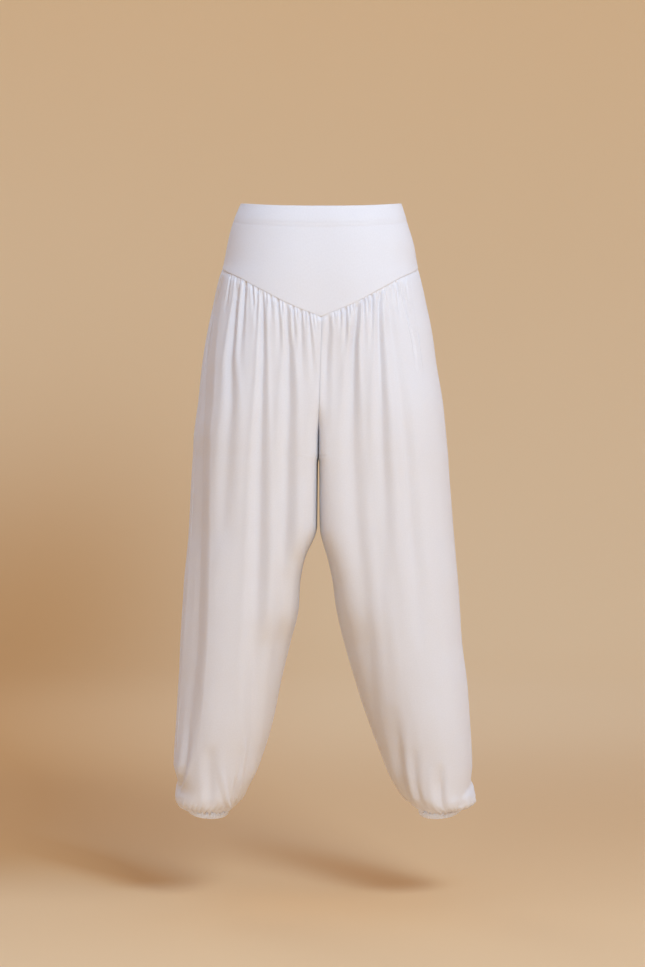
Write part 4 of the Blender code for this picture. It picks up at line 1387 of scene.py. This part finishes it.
# %% Jersey
WHITE = (0.835, 0.83, 0.87, 1.0)
SOFT_WHITE = (0.775, 0.765, 0.80, 1.0)
# The cuffs get a brighter, bluer white than the legs: painted light that makes up for the shade under the
# full hems and the warm light from the floor.
CUFF_PAINTED_LIGHT_WHITE = (0.92, 0.93, 0.97, 1.0)
ARM_SLANT = 0.6
COLUMN_SHARE = 0.6
KNIT_DEPTH = 0.0003
SLOW_CHANGE = {"Scale": 14.0, "Detail": 3.0, "Roughness": 0.6}
FINE_CHANGE = {"Scale": 420.0, "Detail": 2.0, "Roughness": 0.5}
SHEEN = {"Sheen_Weight": 0.1, "Sheen_Roughness": 0.45, "Specular_IOR_Level": 0.25}
ROUGHNESS_CHANGE = 0.1
TONE_SHARE = 0.5
FIBRE_SHARE = 0.5
FINISH_COLUMNS = ("wale", "course", "relief", "roughness", "white")
FINISH_ROWS = {
    "leg_jersey": (0.0009, 0.0007, 0.35, 0.78, WHITE),
    "yoke_jersey": (0.0008, 0.0006, 0.3, 0.74, WHITE),
    "cuff_knit": (0.0012, 0.0009, 0.5, 0.85, CUFF_PAINTED_LIGHT_WHITE),
    "white_thread": (0.0004, 0.0004, 0.4, 0.6, WHITE),
}


def jersey(name, wale, course, relief, roughness, white):
    """A knitted finish with the given width of its columns and height of its rows, in metres."""
    finish = Finish(name)
    place = finish.node("ShaderNodeUVMap", {"uv_map": "cloth"})
    across, down = (finish.node("ShaderNodeSeparateXYZ", None, {0: place}, axis) for axis in range(2))
    from_middle = abs((across * (1.0 / wale)).fraction() - 0.5) * 2.0
    loops = ((down * (1.0 / course) + from_middle * ARM_SLANT) * (2 * math.pi)).sine()
    knit = (1.0 - from_middle * from_middle) * COLUMN_SHARE + loops * (1.0 - COLUMN_SHARE)
    slow = finish.node("ShaderNodeTexNoise", None, {"Vector": place, **SLOW_CHANGE})
    fine = finish.node("ShaderNodeTexNoise", None, {"Vector": place, **FINE_CHANGE})
    colour = finish.mix(slow * TONE_SHARE + fine - TONE_SHARE / 2, white, SOFT_WHITE)
    height = {"Strength": relief, "Distance": KNIT_DEPTH, "Height": knit + fine * FIBRE_SHARE}
    bump = finish.node("ShaderNodeBump", None, height)
    rough = slow * ROUGHNESS_CHANGE + (roughness - ROUGHNESS_CHANGE / 2)
    finish.set(Base_Color=colour, Roughness=rough, Normal=bump, **SHEEN)
    return finish.material


FINISHES = {name: jersey(name, **dict(zip(FINISH_COLUMNS, row))) for name, row in FINISH_ROWS.items()}
print("finishes:", *FINISHES)

# %% [markdown]
# ## Dressing the solids
#
# Each piece of cloth gets its finish, rides on the garment's one body and takes the place of its own
# solid, which is hidden. The size that it was cut to, measured along the finished cloth itself since
# jersey that hangs freely hardly stretches, is worked out and printed as each piece is built.

# %% Dress the solids
for half in ("front", "back"):
    piece, (width, length, area), _ = YOKE_PIECES[half]
    piece.data.materials.append(FINISHES["yoke_jersey"])
    STITCH_PIECES[half].data.materials.append(FINISHES["white_thread"])
    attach(piece, "root")
    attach(STITCH_PIECES[half], "root")
    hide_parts(f"yoke_{half}")
for node, (piece, (width, length, area)) in LEG_PIECES.items():
    piece.data.materials.append(FINISHES["leg_jersey"])
    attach(piece, "root")
    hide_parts(node)
for leg, (piece, (girth, height)) in CUFF_PIECES.items():
    piece.data.materials.append(FINISHES["cuff_knit"])
    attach(piece, "root")
    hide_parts(f"cuff_{leg}")
cloths = [row[0] for row in (*YOKE_PIECES.values(), *LEG_PIECES.values(), *CUFF_PIECES.values())]
total = sum(triangles(piece) for piece in (*cloths, *STITCH_PIECES.values()))
print("dressed", len(cloths), "solids with", total, "triangles in all")

# %% [markdown]
# ## The studio
#
# The trousers float a hand's breadth above a pale warm floor, which curves up into a wall all round, so
# that no edge shows from any side. Two large soft lights from the right, in front and above, give the
# folds their shape. A weak one keeps the back readable, two narrow ones reach the cuffs below the full
# hems, and an even, slightly cool sky fills the shade.

# %% Floor and wall
FLOOR_HEIGHT = -1.135
FLOOR_RINGS = (0.5, 1.0, 2.0, 3.2)
FLOOR_RADIUS = 4.6
COVE_RADIUS = 3.2
WALL_TOP = 5.5
STAGE_SIDES = 128
COVE_STEPS = 24


def stage_profile():
    """Radius and height of the stage's rings, from the middle of the floor to the top of the wall."""
    rings = [(radius, FLOOR_HEIGHT) for radius in (*FLOOR_RINGS, FLOOR_RADIUS)]
    for i in range(1, COVE_STEPS + 1):
        angle = math.pi / 2 * i / COVE_STEPS
        radius = FLOOR_RADIUS + COVE_RADIUS * math.sin(angle)
        rings.append((radius, FLOOR_HEIGHT + COVE_RADIUS * (1.0 - math.cos(angle))))
    rings.append((FLOOR_RADIUS + COVE_RADIUS, WALL_TOP))
    return rings


def add_stage():
    """Turn the stage's profile round the middle."""
    points = []
    for radius, height in stage_profile():
        for side in range(STAGE_SIDES):
            angle = 2 * math.pi * side / STAGE_SIDES
            points.append((radius * math.cos(angle), radius * math.sin(angle), height))
    numbers = np.arange(len(points)).reshape(-1, STAGE_SIDES)
    ring = np.concatenate([numbers, numbers[:, :1]], axis=1)
    faces = grid_faces(ring, False)
    middle = len(points)
    points.append((0.0, 0.0, FLOOR_HEIGHT))
    faces += [(middle, int(ring[0, side]), int(ring[0, side + 1])) for side in range(STAGE_SIDES)]
    mesh = bpy.data.meshes.new("studio_floor")
    mesh.from_pydata(points, [], faces)
    mesh.shade_smooth()
    floor = bpy.data.objects.new("studio_floor", mesh)
    bpy.context.scene.collection.objects.link(floor)
    return floor


stage = add_stage()

# %% [markdown]
# ## The studio paper
#
# The paper is a warm tan with a painted glow, an emission that stands in for the light falling on it,
# more so on the wall than on the floor. A broad soft painted shade lies on it to the left behind the
# garment and low on the wall, a weaker band of it crosses the floor, and a painted shadow runs back
# slanting from below each ankle. Both the paper's colour and its glow turn browner there, and near the
# middle the floor is a little yellower. A few bells and soft steps of the place are enough to draw this.

# %% Paper
PAPER_COLOUR = (0.70, 0.51, 0.335, 1.0)
PAPER_FLECK = (0.68, 0.49, 0.315, 1.0)
NEAR_TINT = (1.0, 0.99, 0.895, 1.0)
# Painted glow: emission that stands in for light on the paper, weaker on the floor than on the far wall.
FLOOR_PAINTED_GLOW = (0.11, 0.045, 0.008, 1.0)
WALL_PAINTED_GLOW = (0.188, 0.122, 0.04, 1.0)
SHADE_TINT = (0.74, 0.57, 0.40, 1.0)
PLAIN_TINT = (1.0, 1.0, 1.0, 1.0)
FLECK = {"Scale": 0.7, "Detail": 2.0, "Roughness": 0.5}
FAR = (1.2, 6.06)
SHADE_TO_LEFT = (0.18, -1.24)
SHADE_BEHIND = (-0.06, 0.49)
SHADE_LOW = 0.83
SHADE_STRENGTH = 0.97
BAND_PLACE = 0.99
BAND_WIDTH = 1.35
BAND_STRENGTH = 0.46
# Painted shadows of the two legs on the floor: where each starts, the way it runs back, its length, width
# and strength.
LEG_SHADES = ((-0.27, 0.16), (0.15, 0.14))
LEG_SHADE_WAY = (0.5, 0.87)
LEG_SHADE_START = (-0.06, 0.06)
LEG_SHADE_END = (0.0, 0.75)
LEG_SHADE_WIDTH = 0.07
LEG_SHADE_STRENGTH = 0.55
PAPER_SURFACE = {"Roughness": 0.9, "Specular_IOR_Level": 0.1}


# Painted shade: the garment's broad cast shadow to the left and low on the wall, a weaker band across the
# floor, and a slanting painted shadow running back from each ankle.
def paper_shade(x, y, z):
    """How deep the shade lies on the paper, from the place on the stage in metres."""
    wall = x.ramp(*SHADE_TO_LEFT) * z.bell(FLOOR_HEIGHT, SHADE_LOW) * y.ramp(*SHADE_BEHIND)
    shade = wall * SHADE_STRENGTH + y.bell(BAND_PLACE, BAND_WIDTH) * BAND_STRENGTH
    left, back = LEG_SHADE_WAY
    for start_x, start_y in LEG_SHADES:
        along = (start_x - x) * left + (y - start_y) * back
        across = (x - start_x) * back + (y - start_y) * left
        run = along.ramp(*LEG_SHADE_START) * (1.0 - along.ramp(*LEG_SHADE_END))
        shade = shade + run * across.bell(0.0, LEG_SHADE_WIDTH) * LEG_SHADE_STRENGTH
    return shade


def studio_paper():
    """The paper's finish: its colour and its painted glow, both browner in the painted shade."""
    paper = Finish("studio_paper")
    place = paper.node("ShaderNodeTexCoord", output=3)
    x, y, z = (paper.node("ShaderNodeSeparateXYZ", None, {0: place}, axis) for axis in range(3))
    tint = paper.mix(paper_shade(x, y, z), PLAIN_TINT, SHADE_TINT)
    fleck = paper.node("ShaderNodeTexNoise", None, {"Vector": place, **FLECK})
    far = paper.node("ShaderNodeVectorMath", {"operation": "LENGTH"}, {0: place}, 1).ramp(*FAR)
    near = paper.mix(1.0, paper.mix(far, NEAR_TINT, PLAIN_TINT), tint, "MULTIPLY")
    colour = paper.mix(1.0, paper.mix(fleck, PAPER_COLOUR, PAPER_FLECK), near, "MULTIPLY")
    glow = paper.mix(1.0, paper.mix(far, FLOOR_PAINTED_GLOW, WALL_PAINTED_GLOW), tint, "MULTIPLY")
    paper.set(Base_Color=colour, Emission_Color=glow, Emission_Strength=1.0)
    paper.set(**PAPER_SURFACE)
    return paper.material


stage.data.materials.append(studio_paper())
print("floor at", FLOOR_HEIGHT, "m")

# %% Lights
LOOK_AT = Vector((0.003, 0.0, -0.454))
LIGHTS = {
    "side": {"at": (2.9, -2.0, 1.9), "size": 1.8, "power": 19.0, "colour": (1.0, 0.86, 0.72)},
    "key": {"at": (1.25, -3.15, 2.0), "size": 1.0, "power": 88.0, "colour": (0.70, 0.86, 1.0)},
    "back": {"at": (-1.6, 3.0, 1.6), "size": 1.4, "power": 16.0, "colour": (0.85, 0.95, 1.0)},
}
CUFF_LIGHT = {"at": (-0.05, -3.4, -0.62), "power": 115.0, "colour": (0.62, 0.80, 1.0)}
CUFF_LIGHT_LOW = 36.0
CUFF_LIGHT_WIDTH = math.radians(2.6)
CUFF_LIGHT_SIZE = 0.02
SKY_COLOUR = (0.42, 0.63, 1.0, 1.0)
SKY_STRENGTH = 1.18


def hang_lamp(name, data, aim, row):
    """Hang a light at its row's place, facing its aim, so that it doesn't show in the picture."""
    data.energy = row["power"]
    data.color = row["colour"]
    lamp = bpy.data.objects.new(name, data)
    lamp.location = row["at"]
    lamp.rotation_mode = "QUATERNION"
    lamp.rotation_quaternion = (Vector(aim) - Vector(row["at"])).to_track_quat("-Z", "Y")
    lamp.visible_camera = False
    bpy.context.scene.collection.objects.link(lamp)


def soft_light(size):
    """A square area that gives soft light."""
    data = bpy.data.lights.new("soft_light", "AREA")
    data.shape = "SQUARE"
    data.size = size
    return data


def narrow_light(width, size):
    """A narrow cone of light with a soft rim."""
    data = bpy.data.lights.new("narrow_light", "SPOT")
    data.spot_size = width
    data.spot_blend = 1.0
    data.shadow_soft_size = size
    return data


for name, row in LIGHTS.items():
    hang_lamp(name + "_light", soft_light(row["size"]), LOOK_AT, row)
for leg, way in (("left", -1.0), ("right", 1.0)):
    middle = Vector((way * cuff_centre(leg), 0.0, -(CUFF_SEAM_DROP + CUFF_LIGHT_LOW))) * MILLIMETRE
    narrow = narrow_light(CUFF_LIGHT_WIDTH, CUFF_LIGHT_SIZE)
    hang_lamp(f"cuff_{leg}_light", narrow, middle, CUFF_LIGHT)
world = bpy.data.worlds.new("studio_air")
world.use_nodes = True
world.node_tree.nodes["Background"].inputs["Color"].default_value = SKY_COLOUR
world.node_tree.nodes["Background"].inputs["Strength"].default_value = SKY_STRENGTH
bpy.context.scene.world = world
print("lights:", sorted(LIGHTS))

# %% [markdown]
# ## The camera
#
# The photograph was taken straight from the front with a long lens, level with the thighs.

# %% Camera
LENS = 85.0
SENSOR = 36.0
CAMERA_DISTANCE = 3.712
CAMERA_REACH = 60.0
camera_data = bpy.data.cameras.new("camera")
camera_data.lens = LENS
camera_data.sensor_width = SENSOR
camera = bpy.data.objects.new("camera", camera_data)
camera.location = (LOOK_AT.x, -CAMERA_DISTANCE, LOOK_AT.z)
camera.rotation_euler = (math.pi / 2, 0.0, 0.0)
camera_data.clip_end = CAMERA_REACH
bpy.context.scene.view_settings.view_transform = "Standard"
bpy.context.scene.collection.objects.link(camera)
bpy.context.scene.camera = camera
print("camera:", LENS, "mm lens,", CAMERA_DISTANCE, "m in front")
